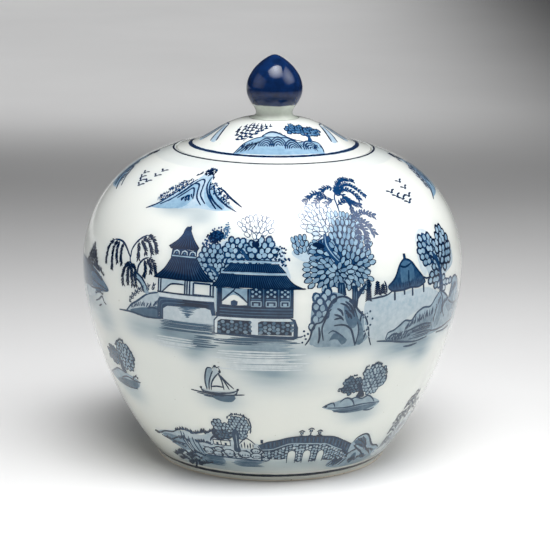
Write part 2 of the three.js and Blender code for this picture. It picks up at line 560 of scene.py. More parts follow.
class Sketch:
    """Flat shapes in painter's order, drawn in (u, s) millimetres on one surface."""

    def __init__(self, seed):
        self.random = random.Random(seed)
        self.shapes = []
        self.tones = []

    def fill(self, points, tone):
        """Adds a closed shape. Its points may run either way round."""
        turn = sum(a[0] * b[1] - b[0] * a[1] for a, b in zip(points, points[1:] + points[:1]))
        self.shapes.append(points if turn > 0 else points[::-1])
        self.tones.append(tone)

    def shape(self, points, tone):
        """A shape with straight edges."""
        self.fill(straight(points), tone)

    def pool(self, points, tone):
        """A shape with a smooth edge through its points."""
        self.fill(flow(points, closed=True), tone)

    def brush(self, points, width=1.0, tone=LINE, tip=0.45, step=1.4):
        """A stroke that swells from its tip, a part of its width, and thins again as the brush lifts off."""
        line = flow(points, step=step)
        last = len(line) - 1
        edges = []
        for i, (u, s) in enumerate(line):
            before, after = line[max(i - 1, 0)], line[min(i + 1, last)]
            du, ds = after[0] - before[0], after[1] - before[1]
            length = math.hypot(du, ds) or 1
            swell = tip + (1 - tip) * abs(math.sin(math.pi * i / last)) ** 0.5
            half = width / 2 * swell * self.random.uniform(0.88, 1.12)
            across = (-ds / length * half, du / length * half)
            edges.append(((u + across[0], s + across[1]), (u - across[0], s - across[1])))
        for (a, b), (c, d) in zip(edges, edges[1:]):
            self.fill([a, b, d, c], tone)

    def strokes(self, lines, width=1.0, tone=LINE, tip=0.45):
        """Several brush strokes of one kind."""
        for line in lines:
            self.brush(line, width, tone, tip)

    def outline(self, points, width, tone=LINE):
        """A thin even rim round a straight-edged shape."""
        for start, end in zip(points, points[1:] + points[:1]):
            self.brush([start, end], width, tone, tip=1, step=2.5)

    def leaf(self, u, s, length, width, angle, tone=LINE):
        """A pointed leaf that lies at an angle in degrees from level."""
        cosine, sine = math.cos(math.radians(angle)), math.sin(math.radians(angle))
        half = width / 2
        outline = ((0, 0), (0.35, -half), (0.75, -0.7 * half), (1, 0), (0.75, 0.7 * half), (0.35, half))
        points = [(x * length, y) for x, y in outline]
        self.fill([(u + x * cosine - y * sine, s + x * sine + y * cosine) for x, y in points], tone)

    def spot(self, u, s, radius, tone=LINE, length=1.0, angle=0.0):
        """A round dab, drawn out by a factor along an angle in degrees."""
        cosine, sine = math.cos(math.radians(angle)), math.sin(math.radians(angle))
        corners = 7 if radius < 0.8 else 9
        points = []
        for i in range(corners):
            way = 2 * math.pi * (i + self.random.uniform(-0.15, 0.15)) / corners
            size = radius * self.random.uniform(0.88, 1.1)
            x, y = size * length * math.cos(way), size * math.sin(way)
            points.append((u + x * cosine - y * sine, s + x * sine + y * cosine))
        self.fill(points, tone)

    def fringe(self, line, length, angle, spacing, width=0.8, tone=LINE):
        """Leaves along both sides of a line, swept back from it by an angle in degrees."""
        path = flow(line, step=spacing)
        for (u0, s0), (u, s) in zip(path, path[1:]):
            heading = math.degrees(math.atan2(s - s0, u - u0))
            for side in (1, -1):
                swept = heading + side * angle + self.random.uniform(-9, 9)
                self.leaf(u, s, length * self.random.uniform(0.75, 1.15), width, swept, tone)

    def grass(self, line, height, lean, spacing, width, tone=LINE):
        """Short leaves that all lean one way from a line, as scrub or hatching."""
        for u, s in flow(line, step=spacing):
            angle = lean + self.random.uniform(-22, 22)
            self.leaf(u, s, height * self.random.uniform(0.6, 1.15), width, angle, tone)

    def dots(self, centre, size, count, radius=0.55, tone=LINE):
        """Loose dots inside an oval."""
        for _ in range(count):
            way = self.random.uniform(0, 2 * math.pi)
            out = self.random.random() ** 0.5
            u = centre[0] + size[0] * out * math.cos(way)
            s = centre[1] + size[1] * out * math.sin(way)
            self.spot(u, s, radius * self.random.uniform(0.8, 1.25), tone)

    def crown(self, centre, size, cell, pale=PALE, dark=LINE, root=(0, -0.6)):
        """Foliage drawn as rounded cells that fan out from a root: dark rims, pale middles."""
        places = []
        row_height = cell * 0.84
        rows = math.ceil(size[1] / row_height)
        for row in range(-rows, rows + 1):
            columns = math.ceil(size[0] / cell) + 1
            for column in range(-columns, columns + 1):
                u = (column + (row % 2) / 2 + self.random.uniform(-0.16, 0.16)) * cell
                s = (row + self.random.uniform(-0.16, 0.16)) * row_height
                if (u / size[0]) ** 2 + (s / size[1]) ** 2 < 1:
                    places.append((u, s))
        for radius, tone in ((cell * 0.64, dark), (cell * 0.36, pale)):
            for u, s in places:
                fan = math.degrees(math.atan2(s - root[1] * size[1], u - root[0] * size[0]))
                shade = tone + self.random.uniform(-0.07, 0.07)
                self.spot(centre[0] + u, centre[1] + s, radius, shade, 1.22, fan)

    def stones(self, centre, size, cell, pale):
        """A heap of stones: close-set cells that all point one way."""
        self.crown(centre, size, cell, pale, STRONG, root=(0, -9))

    def petals(self, centre, size, root, cell, pale=PALE + 0.05, dark=DARK):
        """Long leaves in rings about a root point, inside an oval: dark rims, pale middles."""
        places = []
        ring = cell * 1.35
        reach_out = math.dist(centre, root) + max(size)
        for step in range(1, math.ceil(reach_out / ring)):
            count = round(2 * math.pi * step * ring / cell)
            for i in range(count):
                way = 2 * math.pi * (i + step % 2 / 2 + self.random.uniform(-0.12, 0.12)) / count
                out = ring * (step + self.random.uniform(-0.08, 0.08))
                u = root[0] + out * math.cos(way)
                s = root[1] + out * math.sin(way)
                if ((u - centre[0]) / size[0]) ** 2 + ((s - centre[1]) / size[1]) ** 2 < 1:
                    places.append((u, s, math.degrees(way)))
        for radius, length, tone in ((cell * 0.56, 1.55, dark), (cell * 0.38, 1.8, pale)):
            for u, s, way in places:
                self.spot(u, s, radius, tone + self.random.uniform(-0.07, 0.07), length, way)

    def rubble(self, lower, upper, cell, pale=PALE):
        """Stones laid between a lower and an upper edge, in staggered columns."""
        left = max(lower[0][0], upper[0][0]) + cell / 2
        right = min(lower[-1][0], upper[-1][0])
        for column, u in enumerate(np.arange(left, right, cell)):
            low = np.interp(u, *zip(*lower)) + cell * (0.45 + column % 2 / 2)
            high = np.interp(u, *zip(*upper)) - cell * 0.3
            for s in np.arange(low, high, cell * 0.92):
                here = (u + self.random.uniform(-0.3, 0.3), s + self.random.uniform(-0.25, 0.25))
                shade = pale + self.random.uniform(-0.1, 0.1)
                size = cell * self.random.uniform(0.34, 0.42)
                self.spot(*here, size, shade, self.random.uniform(1, 1.35), self.random.uniform(-40, 40))

    def ripples(self, left, right, low, high, count, width=0.7, tone=MID, taper=0.0, ragged=0.5):
        """Level strokes of still water. A taper shortens them towards the bottom, raggedness by chance."""
        middle = (left + right) / 2
        for i in range(count):
            depth = (i + 0.5) / count
            s = high + (low - high) * depth + self.random.uniform(-0.15, 0.15)
            half = (right - left) / 2 * (1 - taper * depth)
            start = middle - half * self.random.uniform(1 - ragged, 1)
            end = middle + half * self.random.uniform(1 - ragged, 1)
            bow = self.random.uniform(-0.25, 0.25)
            self.brush([(start, s), ((start + end) / 2, s + bow), (end, s)], width, tone, tip=0.25, step=3)

    def arcs(self, u, s, size, count, width, tall):
        """Arched strokes one inside another, drawn out upwards by a factor."""
        bend = ((-1, 0), (-0.8, 0.6), (0, 1), (0.8, 0.6), (1, 0))
        for i in range(count):
            r = size * (i + 1) / count
            self.brush([(u + x * r, s + y * r * tall) for x, y in bend], width, tip=0.5, step=0.9)

    def tiles(self, left, right, count, width=0.38):
        """Light lines that run down a roof between its left and right edges."""
        for i in range(1, count):
            t = i / count
            line = [tuple(a + (b - a) * t for a, b in zip(p, q)) for p, q in zip(left, right)]
            self.brush(line, width, STRONG, tip=0.6, step=2)


# ---- Painted scene ---------------------------------------------------------------------
def mountain(art):
    """A steep peak with folds in its rock and scrub on its flanks."""
    near_ridge = [(-82, 153.7), (-75, 157.5), (-70, 162), (-65, 167.5), (-60, 173.5), (-57, 177), (-54, 182)]
    far_ridge = [(-47, 181), (-45, 176), (-38, 171), (-30, 164), (-23, 159)]
    art.pool(near_ridge + far_ridge + [(-33, 157.5), (-46, 158), (-58, 156.5), (-70, 156.5)], WASH)
    art.pool([(-78, 155), (-70, 160.5), (-60, 170.5), (-56, 174.5), (-52, 172), (-52, 163), (-58, 157)], PALE)
    art.pool([(-48, 180), (-44, 173), (-36, 166), (-29, 159.4), (-37, 158.6), (-43, 163), (-47, 171)], PALE)
    for centre, size, count in (
        ((-74, 162), (3.2, 2.6), 24), ((-70, 166.4), (3.8, 4), 44), ((-66, 170.6), (4, 4.2), 50),
        ((-62, 174), (3, 2.8), 24), ((-42, 173), (3, 3), 34), ((-36.6, 169.6), (3.2, 3), 34),
        ((-30.6, 165.6), (3, 2.4), 28),
    ):
        art.dots(centre, size, count, 0.48, STRONG)
        art.dots(centre, size, count // 3, 0.5, DARK)
    art.grass([(-76, 159), (-71, 165), (-67, 169.6)], 4.2, 118, 1.5, 0.6, STRONG)
    art.strokes([
        near_ridge[:-1],
        [(-73, 157.4), (-67, 161.4), (-61, 167.4), (-57.5, 173), (-56, 175), (-53, 177.3), (-50.5, 176),
         (-49, 171), (-47.5, 166), (-42, 161)],
        [(-68, 160), (-62, 166.8), (-58.5, 172.4), (-55, 173.8), (-52.5, 172.5), (-51, 168), (-49, 164),
         (-44.5, 160)],
        [(-63, 162.5), (-59, 167), (-56, 170.4), (-53.8, 168.5), (-51.4, 163)],
        [(-47, 180), (-47, 174), (-44, 168.5), (-39, 163), (-34, 158.5)],
        [(-45.6, 176), (-43, 169.4), (-37, 163), (-30, 158.5)],
        [(-42, 173), (-37, 167), (-29, 161.5), (-21, 157.5)],
        [(-38, 172.4), (-33, 170.4), (-27, 166), (-18.5, 160.5)],
    ], 1.2)
    art.grass([(-60, 163.4), (-57.4, 165.4), (-54.6, 166.4)], 3.4, -62, 0.6, 0.9)
    art.fringe([(-57, 166), (-55.5, 162.8)], 2.4, 40, 0.7)
    art.dots((-51, 183.4), (4.2, 3.2), 60, 0.75, DARK)
    for line, height, width in (
        ([(-56, 183), (-52, 186), (-46.6, 184.6)], 2.6, 1.1),
        ([(-60.5, 179), (-57.5, 181)], 3.2, 1.0),
        ([(-46.6, 180), (-44.6, 177.6)], 2.8, 1.0),
    ):
        art.grass(line, height, 98, 0.7, width)
    art.dots((-28, 162.5), (2, 1), 6, 0.5)


def flock(art, u, s):
    """Seven small birds in a loose V."""
    places = ((-9.5, 6), (-7, 3), (-3.5, 0.8), (0, -2), (4, 1.5), (7, 6.5), (8, 11))
    for du, ds in places:
        here = (u + du, s + ds)
        art.brush([(here[0] - 4.2, here[1] + 1.4), (here[0] - 1.8, here[1] + 1), here], 1.15)
        art.brush([here, (here[0] + 2, here[1] + 1.3), (here[0] + 4.6, here[1] + 1.7)], 1.05)
        art.leaf(here[0] - 1.8, here[1] - 0.3, 3.8, 1.2, 8)


def willow(art):
    """Drooping fronds on a bent trunk, above a grassy bank."""
    art.pool([(-82, 99), (-78, 103), (-73, 106), (-68, 109.5), (-60, 112.3), (-59.5, 99.5), (-70, 98.5)],
             WASH)
    art.pool([(-79, 100), (-72, 102.5), (-64, 104), (-60, 105), (-60, 99), (-70, 98.8)], MID)
    art.grass([(-78, 101), (-72, 103), (-66, 103.5), (-61, 105)], 3.6, 68, 0.9, 0.7, STRONG)
    art.strokes([
        [(-82, 99), (-78, 103), (-73, 106), (-68, 109.5), (-65, 111), (-59.5, 112.3)],
        [(-88, 98.6), (-78, 99.2), (-68, 98.4), (-58, 99)],
        [(-67, 103), (-63, 104), (-60, 103.6)],
    ], 1.1, STRONG)
    art.pool([(-75, 120.3), (-70, 118), (-66, 113.5), (-65.5, 110.8), (-68.5, 111), (-71, 115.5),
              (-75, 117.5)], PALE)
    art.strokes([
        [(-80.5, 128), (-79.5, 125), (-76.5, 122.5), (-74.5, 120.5), (-70, 118), (-66, 113.5)],
        [(-75, 117.8), (-71, 115.5), (-68.3, 111)],
        [(-73.5, 120), (-73.2, 124), (-70.5, 127.5), (-67.5, 128.8)],
        [(-79.8, 127), (-80, 131), (-78, 135), (-75, 138), (-71.5, 139.8)],
        [(-80, 127), (-84, 131), (-88, 133.6), (-92, 134.2), (-96, 133.8)],
        [(-79.5, 125), (-82, 123.5), (-84, 120)],
    ], 1.15)
    for strand in (
        [(-96, 133.8), (-99.2, 131), (-100.6, 127), (-100.4, 121.6)],
        [(-93, 134), (-95, 130.5), (-95.2, 125), (-94.2, 119.5)],
        [(-91.5, 134), (-92, 129), (-91.3, 125.5), (-90.2, 123)],
        [(-88, 133.4), (-88.2, 129), (-87.5, 125.5), (-86.6, 122.8)],
        [(-71.5, 139.8), (-68, 139), (-64.8, 136.3), (-62.8, 132.4)],
        [(-74.5, 137.5), (-70.5, 137.3), (-67.5, 134.5), (-65.8, 131.4)],
        [(-75, 137), (-72.5, 134.8), (-70.6, 132.8), (-69.8, 130.6)],
        [(-76.5, 136), (-75.4, 133), (-74.8, 130), (-74.2, 127.6)],
        [(-67.5, 128.8), (-64.6, 127.6), (-62.6, 125), (-61.4, 121.5)],
        [(-68.5, 128.4), (-66.6, 126.5), (-65, 124.5), (-64.6, 121.8)],
        [(-70, 127.6), (-68.6, 124.5), (-68.2, 122), (-68.8, 119.4)],
        [(-80, 125), (-83, 121.5), (-84.4, 117), (-83.8, 113)],
        [(-79.5, 125), (-80.4, 121), (-80.4, 117), (-80, 114)],
        [(-79, 125), (-78, 121), (-77.2, 117), (-76.4, 113.8)],
        [(-78, 124.5), (-75.6, 122), (-74.8, 118), (-74.2, 113.8)],
    ):
        art.brush(strand, 0.8)
        art.fringe(strand, 2.2, 36, 0.95, 0.9, DARK)
    for u, s in ((-78.5, 104.2), (-76.7, 106.4), (-74.6, 108.2), (-72.4, 109.8), (-70.2, 111.2), (-66, 112.4),
                 (-62.6, 113.2)):
        art.fringe([(u - 0.6, s - 0.8), (u + 0.5, s + 2.4)], 1.7, 40, 0.85, 0.7)


def grove(art):
    """Round-leaved trees behind the pavilions."""
    art.pool([(-33, 118), (-34, 128), (-26, 141), (-10, 143), (4, 139), (7, 131), (8, 122), (-10, 124)], WASH)
    art.crown((-29.5, 131.5), (8.3, 7.6), 2.8)
    art.crown((-18.5, 137), (6, 6.2), 3.0)
    art.crown((-26, 125), (6, 4.5), 2.6)
    art.crown((-5.5, 137.6), (8.6, 6.2), 3.3)
    art.petals((-8.5, 150), (9.6, 7), (-8.5, 142), 2.4, BARE, STRONG)
    art.brush([(-16, 138), (-13, 134), (-11, 131)], 1.6, STRONG)
    art.brush([(-33, 129), (-28, 126), (-25, 121)], 1.3, STRONG)
    art.dots((4.8, 134.5), (4, 5.4), 46)
    art.pool([(-34.6, 142), (-33, 145.6), (-29.6, 147), (-26.6, 145.4), (-26.4, 142.4), (-30, 141.2)], STRONG)
    art.dots((-30.6, 143.8), (4.8, 3.4), 60, 0.6, DARK)
    art.dots((-28, 146.4), (5, 2.6), 26, 0.5, STRONG)
    art.dots((-24.8, 147), (1.6, 4.6), 34, 0.45, MID)
    art.dots((-34.6, 139.6), (2.6, 2.4), 26, 0.5, STRONG)
    art.grass([(-10, 139), (-7.2, 139)], 4, 90, 0.6, 1.1, DARK)


def garden_tower(art):
    """The walls and posts of a two-storey pavilion over the water."""
    art.shape(block(-59.5, 99, -28, 121), WASH)
    art.shape([(-56.5, 113.4), (-52.5, 117.4), (-44.6, 117.8), (-44.6, 113.4)], BARE)
    art.shape(block(-38.6, 114.2, -31, 119), BARE)
    art.strokes([[(-57, 113.2), (-54.5, 115.5), (-52, 117.6), (-48, 118.1), (-44.4, 118)]], 0.9)
    art.outline(block(-39.4, 113.6, -30.4, 119.6), 0.9)
    for post in (-59.3, -57.9, -44, -42.8, -41.4, -29):
        art.brush([(post, 113), (post, 120.5)], 0.85, tip=1)
    art.brush([(-60, 113), (-44, 113.2), (-28.4, 113.6)], 0.9, tip=0.9)
    art.shape(block(-59, 110.9, -28.6, 112.5), MIST)


def tower_platform(art):
    """A broad band with a leg at its left end, and the dark water under it."""
    art.shape([(-56.4, 99.3), (-56.4, 106), (-30.4, 108), (-29.6, 99.8)], MIST + 0.06)
    art.ripples(-50, -35, 101.4, 107.2, 9, 0.8, taper=0.85)
    art.shape([(-60.2, 98.8), (-60, 108), (-58.6, 110.4), (-28.4, 111), (-27.6, 104), (-29.6, 103.8),
               (-30.4, 106.6), (-33, 107.4), (-54, 106.2), (-56.4, 104.6), (-56.8, 98.8)], STRONG)
    art.ripples(-52, -28.6, 107.4, 110.6, 6, 0.7, DARK)
    art.strokes([
        [(-59, 103), (-58.5, 108), (-55, 109.6), (-45, 110.2)],
        [(-57.4, 100), (-57.4, 106), (-54, 107.8), (-44, 108.6)],
    ], 0.45, MID)


def tower_roofs(art):
    """Lower roof, windowed band and upper roof."""
    left = [(-53.4, 131), (-56.6, 125.4), (-62.4, 120.2)]
    right = [(-38.4, 131.4), (-34, 125.6), (-28.4, 120.8)]
    art.fill(flow(left) + flow(right)[::-1], DARK)
    art.tiles(left, right, 18)
    art.brush([(-62.6, 120.1), (-45, 120.6), (-28, 120.9)], 1.1, DARK)
    art.shape(block(-53.6, 131, -39, 135.6), LINE)
    art.brush([(-53, 131.9), (-39.4, 132.1)], 0.6, PALE, tip=1)
    for u in (-50.6, -46, -41.4):
        art.brush([(u - 1.7, 132.8), (u - 1.3, 134.3), (u, 134.9), (u + 1.3, 134.3), (u + 1.7, 132.8)], 0.6,
                  WASH)
        art.spot(u, 133.5, 0.5, MID)
    left = [(-48.4, 145.4), (-51.2, 140.6), (-56.2, 136.6)]
    right = [(-45, 145.6), (-41.8, 141), (-38.2, 137)]
    art.fill(flow(left) + [(-54.4, 135.2), (-47, 135.6), (-39, 135.4)] + flow(right)[::-1], DARK)
    art.tiles(left, right, 11)
    art.strokes([[(-49, 144), (-47.4, 147.4)], [(-45.8, 148), (-45.2, 144.6)],
                 [(-47.8, 146.8), (-46.2, 146)]], 1.4)
    art.fill([(-48.8, 145), (-47.2, 147.4), (-45.6, 147.6), (-44.8, 145)], LINE)


def reflections(art):
    """Streaks on the water under the pavilions."""
    art.ripples(-60, -27, 93.4, 99.4, 7, 0.85, ragged=0.16)
    art.ripples(-44, -26, 86.5, 93, 6, 0.8)
    art.ripples(-30, 16, 89.4, 93.4, 6, 0.8)
    art.ripples(-12, 14, 86.6, 91, 5, 0.7, PALE)
    art.ripples(-34, 22, 75, 86, 9, 1.1, MIST)
    art.ripples(-66, -38, 84, 90, 5, 0.9, MIST)


def tea_house(art):
    """The walls of a broad pavilion, with lattice screens and a railing."""
    art.shape(block(-27.6, 104, 10.6, 120), LINE)
    art.shape(block(-24.4, 110.2, -12, 118.4), PALE)
    art.pool([(-24.2, 110.4), (-22.6, 113), (-20, 115), (-17.6, 115.2), (-14.6, 113.4), (-12.2, 110.4)], BARE)
    art.strokes([[(-24.6, 111.8), (-21.6, 114.8), (-18.6, 117.6), (-17.6, 119)],
                 [(-18.8, 117), (-15.4, 115), (-12, 111.6)]], 0.9)
    art.pool([(-20, 110.2), (-20, 112), (-18.4, 112.8), (-16.6, 112), (-16.8, 110.2)], STRONG)
    art.brush([(-27.4, 106), (-27.3, 118)], 0.7, PALE, tip=1)
    art.brush([(-10.8, 110), (-10.8, 118.4)], 0.5, MID, tip=1)
    for middle, half in ((-7.6, 2.4), (-0.3, 2.4), (6.4, 2.0)):
        for row in range(4):
            for column in range(-1, 2):
                if (row + column) % 2:
                    art.spot(middle + column * half * 0.72, 114.9 + row * 1.15, 0.62, PALE, 1.1)
        art.brush([(middle - half, 113.4), (middle + half, 113.4)], 0.55, MID, tip=1)
        art.outline(block(middle - half, 109.9, middle + half, 112.4), 0.5, PALE)
        art.shape(block(middle - half * 0.45, 110.2, middle + half * 0.45, 111.4), PALE)
    for post in (-4, 3.3, 8.9):
        art.brush([(post, 110), (post, 118.4)], 0.45, MID, tip=1)
    for rail in (105.4, 106.9, 108.5):
        art.brush([(-25.6, rail), (10.2, rail - 0.2)], 0.4, MID, tip=1)


def tea_house_base(art):
    """Two panels of rubble inside a pale border."""
    art.shape([(-29, 94.6), (-28.8, 102), (-27, 104.2), (9.4, 104), (11.6, 103), (13, 99), (13, 93.6),
               (11, 92.4)], STRONG)
    art.shape([(-28.4, 95), (-28.2, 101.6), (-26.4, 103.8), (9, 103.6), (10.8, 101.6), (10.8, 94.4)], MIST)
    for panel_outline in (
        [(-27.2, 95.2), (-26.8, 101.4), (-25, 102.6), (-10.4, 102.4), (-9.9, 95.2)],
        [(-6.6, 95.2), (-6.6, 101.6), (-5, 102.4), (9, 102.2), (10, 100), (10, 94.8)],
    ):
        art.shape(panel_outline, DARK)
        left, right = panel_outline[0][0], panel_outline[-1][0]
        art.rubble([(left, 95.2), (right, 95.2)], [(left, 102.6), (right, 102.6)], 2.2, MID - 0.06)
    art.brush([(-30, 94.8), (-10, 94.6), (12, 93.8), (15.5, 94.6)], 1.1, STRONG)


def tea_house_roofs(art):
    """A wide lower roof, a narrow upper roof and their pale edges."""
    left = [(-26, 125.6), (-27.6, 122), (-30.4, 118.8)]
    right = [(7.2, 125.4), (10.6, 121.4), (16.6, 118.4)]
    art.fill(flow(left) + [(-8, 118.8), (8, 118.2)] + flow(right)[::-1], DARK)
    art.tiles(left, [(7.2, 125.4), (10, 121.6), (13, 119.4)], 36, 0.36)
    art.brush([(9, 119.6), (13, 118.8), (16.6, 118.6)], 1.0, DARK)
    left = [(-20.6, 131), (-22.6, 129), (-25, 126.6)]
    right = [(3, 131), (5, 129), (7.2, 126.4)]
    art.shape([*left, *right[::-1]], DARK)
    art.tiles(left, right, 28)
    art.brush([(-25.4, 126), (-10, 126.3), (7.4, 125.7)], 0.8, PALE, tip=0.8)
    art.brush([(-21, 131.6), (-8, 132), (3, 131.6)], 0.8, PALE, tip=0.8)
    art.brush([(-21.4, 132.4), (-8, 132.8), (3.6, 132.3)], 0.5, tip=0.8)


def old_trees(art):
    """Two tall trees with dense crowns."""
    # The two top crowns are paler than the rest, partly a painted highlight where the glare lies across them.
    art.petals((25.5, 153), (10.5, 9.5), (30, 145), 2.6, MIST, STRONG)
    art.petals((37, 152), (5.5, 7.5), (36, 143), 2.5, WASH, STRONG)
    art.pool([(10, 137.4), (12, 134), (19, 131.6), (22, 136), (18, 140)], WASH)
    art.pool([(22, 141), (30, 145), (42, 154), (48, 150), (47, 141), (50, 130), (46, 121), (36, 119),
              (24, 120), (20, 126), (21, 132)], STRONG)
    art.petals((15, 140.4), (6.4, 4.3), (16, 132), 2.3)
    art.petals((45, 151.4), (6.6, 5.2), (38, 144), 2.3)
    art.petals((37.5, 144.5), (8.5, 9), (35, 131), 2.6)
    art.petals((25.5, 135), (8.6, 7.4), (35, 134), 2.7)
    art.petals((46, 134), (8, 11), (38.5, 127), 2.7)
    art.petals((44, 122), (8, 6), (39, 129), 2.6)
    art.petals((24.6, 125.4), (11, 7.4), (31.5, 128), 2.7)
    art.petals((35, 128), (6, 8.5), (33, 126), 2.6)
    art.pool([(27.4, 146), (29, 145.6), (29.4, 140), (32.4, 135), (35.4, 131.4), (33.4, 130.4), (30, 133.4),
              (27, 138), (24.4, 139.8), (26.4, 141)], STRONG)
    art.strokes([[(28, 145), (28.2, 140), (31, 135), (34, 131.6)]], 0.5, PALE)
    art.pool([(20.6, 140), (23, 141.8), (27.4, 139.6), (26.4, 138)], DARK)
    art.shape([(32.4, 113.6), (32.6, 121), (36.2, 121), (37.2, 114.5)], LINE)
    art.shape([(40, 110), (40.2, 119), (43, 119), (43.4, 116), (47.4, 119.4), (48, 118.6), (43.6, 112),
               (43.2, 108)], LINE)
    art.strokes([[(33.6, 115), (34, 120)], [(35.2, 115), (35, 120)], [(41.2, 112), (41.2, 118)],
                 [(42.4, 111), (42.4, 116)]], 0.45, MID)


def palm(art):
    """A thin stem and long feathered fronds above the old trees."""
    art.brush([(39.5, 157), (39.6, 161), (39.4, 165), (40.6, 168.5)], 1.0, STRONG)
    fronds = (
        [(40.6, 168.5), (43, 171.5), (47, 176), (51, 178), (55, 178.4), (60, 176.6)],
        [(41, 169), (46, 172.5), (52, 174.6), (57, 172.5), (61.5, 166)],
        [(42, 170), (48, 171.2), (52.5, 170), (55, 167.5), (56.4, 164)],
        [(40, 167.6), (44.5, 168.6), (47.5, 165), (51, 162), (54.4, 160.2)],
        [(47.5, 165.5), (49, 162), (48.6, 160), (48.2, 157)],
        [(39.8, 161.2), (43, 163), (47, 164.4)],
        [(42, 172.6), (37, 173.2), (33.5, 171.6), (31.2, 169.6)],
        [(31, 168), (27.4, 169.4), (24, 168), (19.8, 164.4)],
        [(35.4, 166.8), (31.6, 167), (29, 165.8), (26.4, 163.8)],
        [(38.6, 165), (36, 164.6), (33, 162.8)],
        [(45, 152.6), (50, 155), (55, 156), (60.4, 153.4)],
        [(48, 151.6), (52.4, 151), (55.4, 148), (57.2, 144)],
        [(49, 150), (51.6, 147), (52, 143), (51.4, 138)],
        [(48.6, 150), (48, 147), (47.4, 143)],
    )
    for frond in fronds:
        art.brush(frond, 0.9)
        art.fringe(frond, 3.0, 44, 1.5, 1.35, STRONG + 0.04)


def garden_rock(art):
    """A hollow rock with a pile of rounded stones on its left and roots on its right."""
    art.pool([(19, 98), (20, 112), (24, 116.5), (34, 115.5), (43, 108), (49, 100), (50.5, 92), (44, 87.5),
              (30, 88), (21, 89)], PALE + 0.05)
    art.stones((26, 113.8), (7.2, 3.6), 3.8, PALE)
    art.stones((23, 106), (4, 6.4), 3.8, PALE)
    art.pool([(20.4, 97), (21, 101.5), (25.4, 101), (25.8, 96), (23, 90), (19, 90)], PALE)
    art.stones((20, 99.6), (1.8, 2), 3.2, PALE)
    art.strokes([
        [(26, 91.6), (25, 98), (26.6, 103), (28, 108.6), (30.6, 112.6), (35, 114), (39.5, 112), (44, 106),
         (48, 102), (50, 96.6), (51, 91), (52.6, 86.6)],
        [(29.4, 108), (27, 105.4), (24.6, 101.4), (22, 100.8), (20.2, 98), (19, 93), (16.8, 89.4)],
        [(31, 99.2), (36, 99.3), (40, 97), (42, 92), (43.4, 87.4)],
        [(40.6, 111), (42, 106), (43.6, 101), (44.8, 95), (43.4, 88)],
        [(45.6, 104), (45, 99), (46.8, 94.6), (49.2, 95.6)],
        [(49.6, 96), (47.4, 90.4), (46, 88)],
        [(23.4, 99), (24, 94), (23.4, 90.2)],
    ], 1.15)
    art.pool([(42.8, 103), (45, 96), (44, 88), (47.6, 88.8), (47.4, 94), (46, 99)], MID)
    art.pool([(36, 109), (41, 107), (43.6, 100), (41, 97), (37.4, 101)], MID)
    for start, end in (
        ((34, 110.6), (39, 107)), ((36.6, 111.4), (41.4, 105)), ((38.4, 111.6), (41.6, 107)),
        ((32.4, 108), (35.6, 104)), ((31, 105), (36, 101.6)), ((31, 102.4), (35.6, 102.4)),
        ((36.4, 107), (38.6, 102.6)), ((38.4, 107), (41.8, 103)), ((36.8, 105.4), (40.4, 102)),
    ):
        middle = ((start[0] + end[0]) / 2 + 0.6, (start[1] + end[1]) / 2 + 0.6)
        art.brush([start, middle, end], 1.2)
    art.pool([(29, 91.2), (31, 95), (34, 94.6), (38.6, 91), (36, 88.6), (33.4, 91.6), (30.6, 91.8)], MID)
    art.brush([(28.4, 95.2), (30.6, 96.6), (33.6, 95), (37, 92.4)], 0.9, STRONG)
    for u, s in ((15.4, 91), (17, 92.8), (16.4, 94.6), (18, 95.6), (16, 97), (51, 97.8), (52, 101),
                 (50.4, 105)):
        art.spot(u, s, 0.65, STRONG)
    art.dots((47.4, 104), (2.4, 2.2), 10, 0.5, STRONG)


def firs(art):
    """A line of firs on a low hill."""
    art.pool([(50, 111.6), (47, 104), (50, 92), (62, 89), (72, 97), (84, 101.4), (94, 101.6), (100, 106.6),
              (94, 110), (88, 112), (70, 112.5)], WASH)
    for u, foot, tip, reach_out in ((49.2, 110.4, 121.4, 1.3), (54.4, 113, 120, 1.6),
                                    (57.6, 113, 118.6, 1.6)):
        art.brush([(u, foot), (u + 0.3, tip)], 0.8)
        for s in np.arange(foot + 1, tip, 0.95):
            spread = reach_out * (1.7 - (s - foot) / (tip - foot)) + 0.7
            art.leaf(u + 0.4, s + 0.3, spread, 0.95, 180 + 30, DARK)
            art.leaf(u - 0.1, s, spread, 0.95, -30, DARK)
    art.strokes([[(49, 111.2), (55, 111.7), (60, 112.2), (64, 114.2)],
                 [(58.6, 119.6), (59.8, 116.6), (60, 113.2)]])


def hut(art):
    """A thatched hut on four posts."""
    left = [(72.4, 129), (69, 126), (65.4, 120), (60.6, 116.4), (63, 113.9)]
    right = [(73.8, 129), (77.6, 127), (81.6, 122), (85.4, 118), (87.4, 115)]
    art.fill(flow(left) + [(70, 113.4), (76, 113.9), (82, 113.4)] + flow(right)[::-1], STRONG - 0.02)
    art.pool([(69.6, 125.4), (73, 128), (77.4, 126), (79, 121), (77.6, 117.6), (73.6, 117.4), (69.6, 117.6)],
             MID)
    art.strokes([
        left[:-1],
        right,
        [(60.8, 116.2), (63, 114), (70, 113.5), (76, 114), (82, 113.5), (87.4, 115)],
        [(69.2, 125.8), (73, 124.8), (77.6, 126.4)],
        [(75, 123), (74.6, 118), (75.4, 114)],
        [(84.6, 118.6), (88, 116.8), (93, 116.9)],
    ], 1.1)
    art.grass([(64, 114.6), (70, 114.2), (76, 114.6), (84, 114.4)], 4.0, 84, 1.0, 0.5)
    art.strokes([[(73.2, 128.4), (73.3, 131.6)]], 2.0, tip=0.8)
    for post, foot in ((65.2, 108.8), (71.6, 110.8), (77.4, 109.4), (86, 109.8)):
        art.brush([(post - 0.3, 114), (post, foot)], 1.3, tip=0.8)


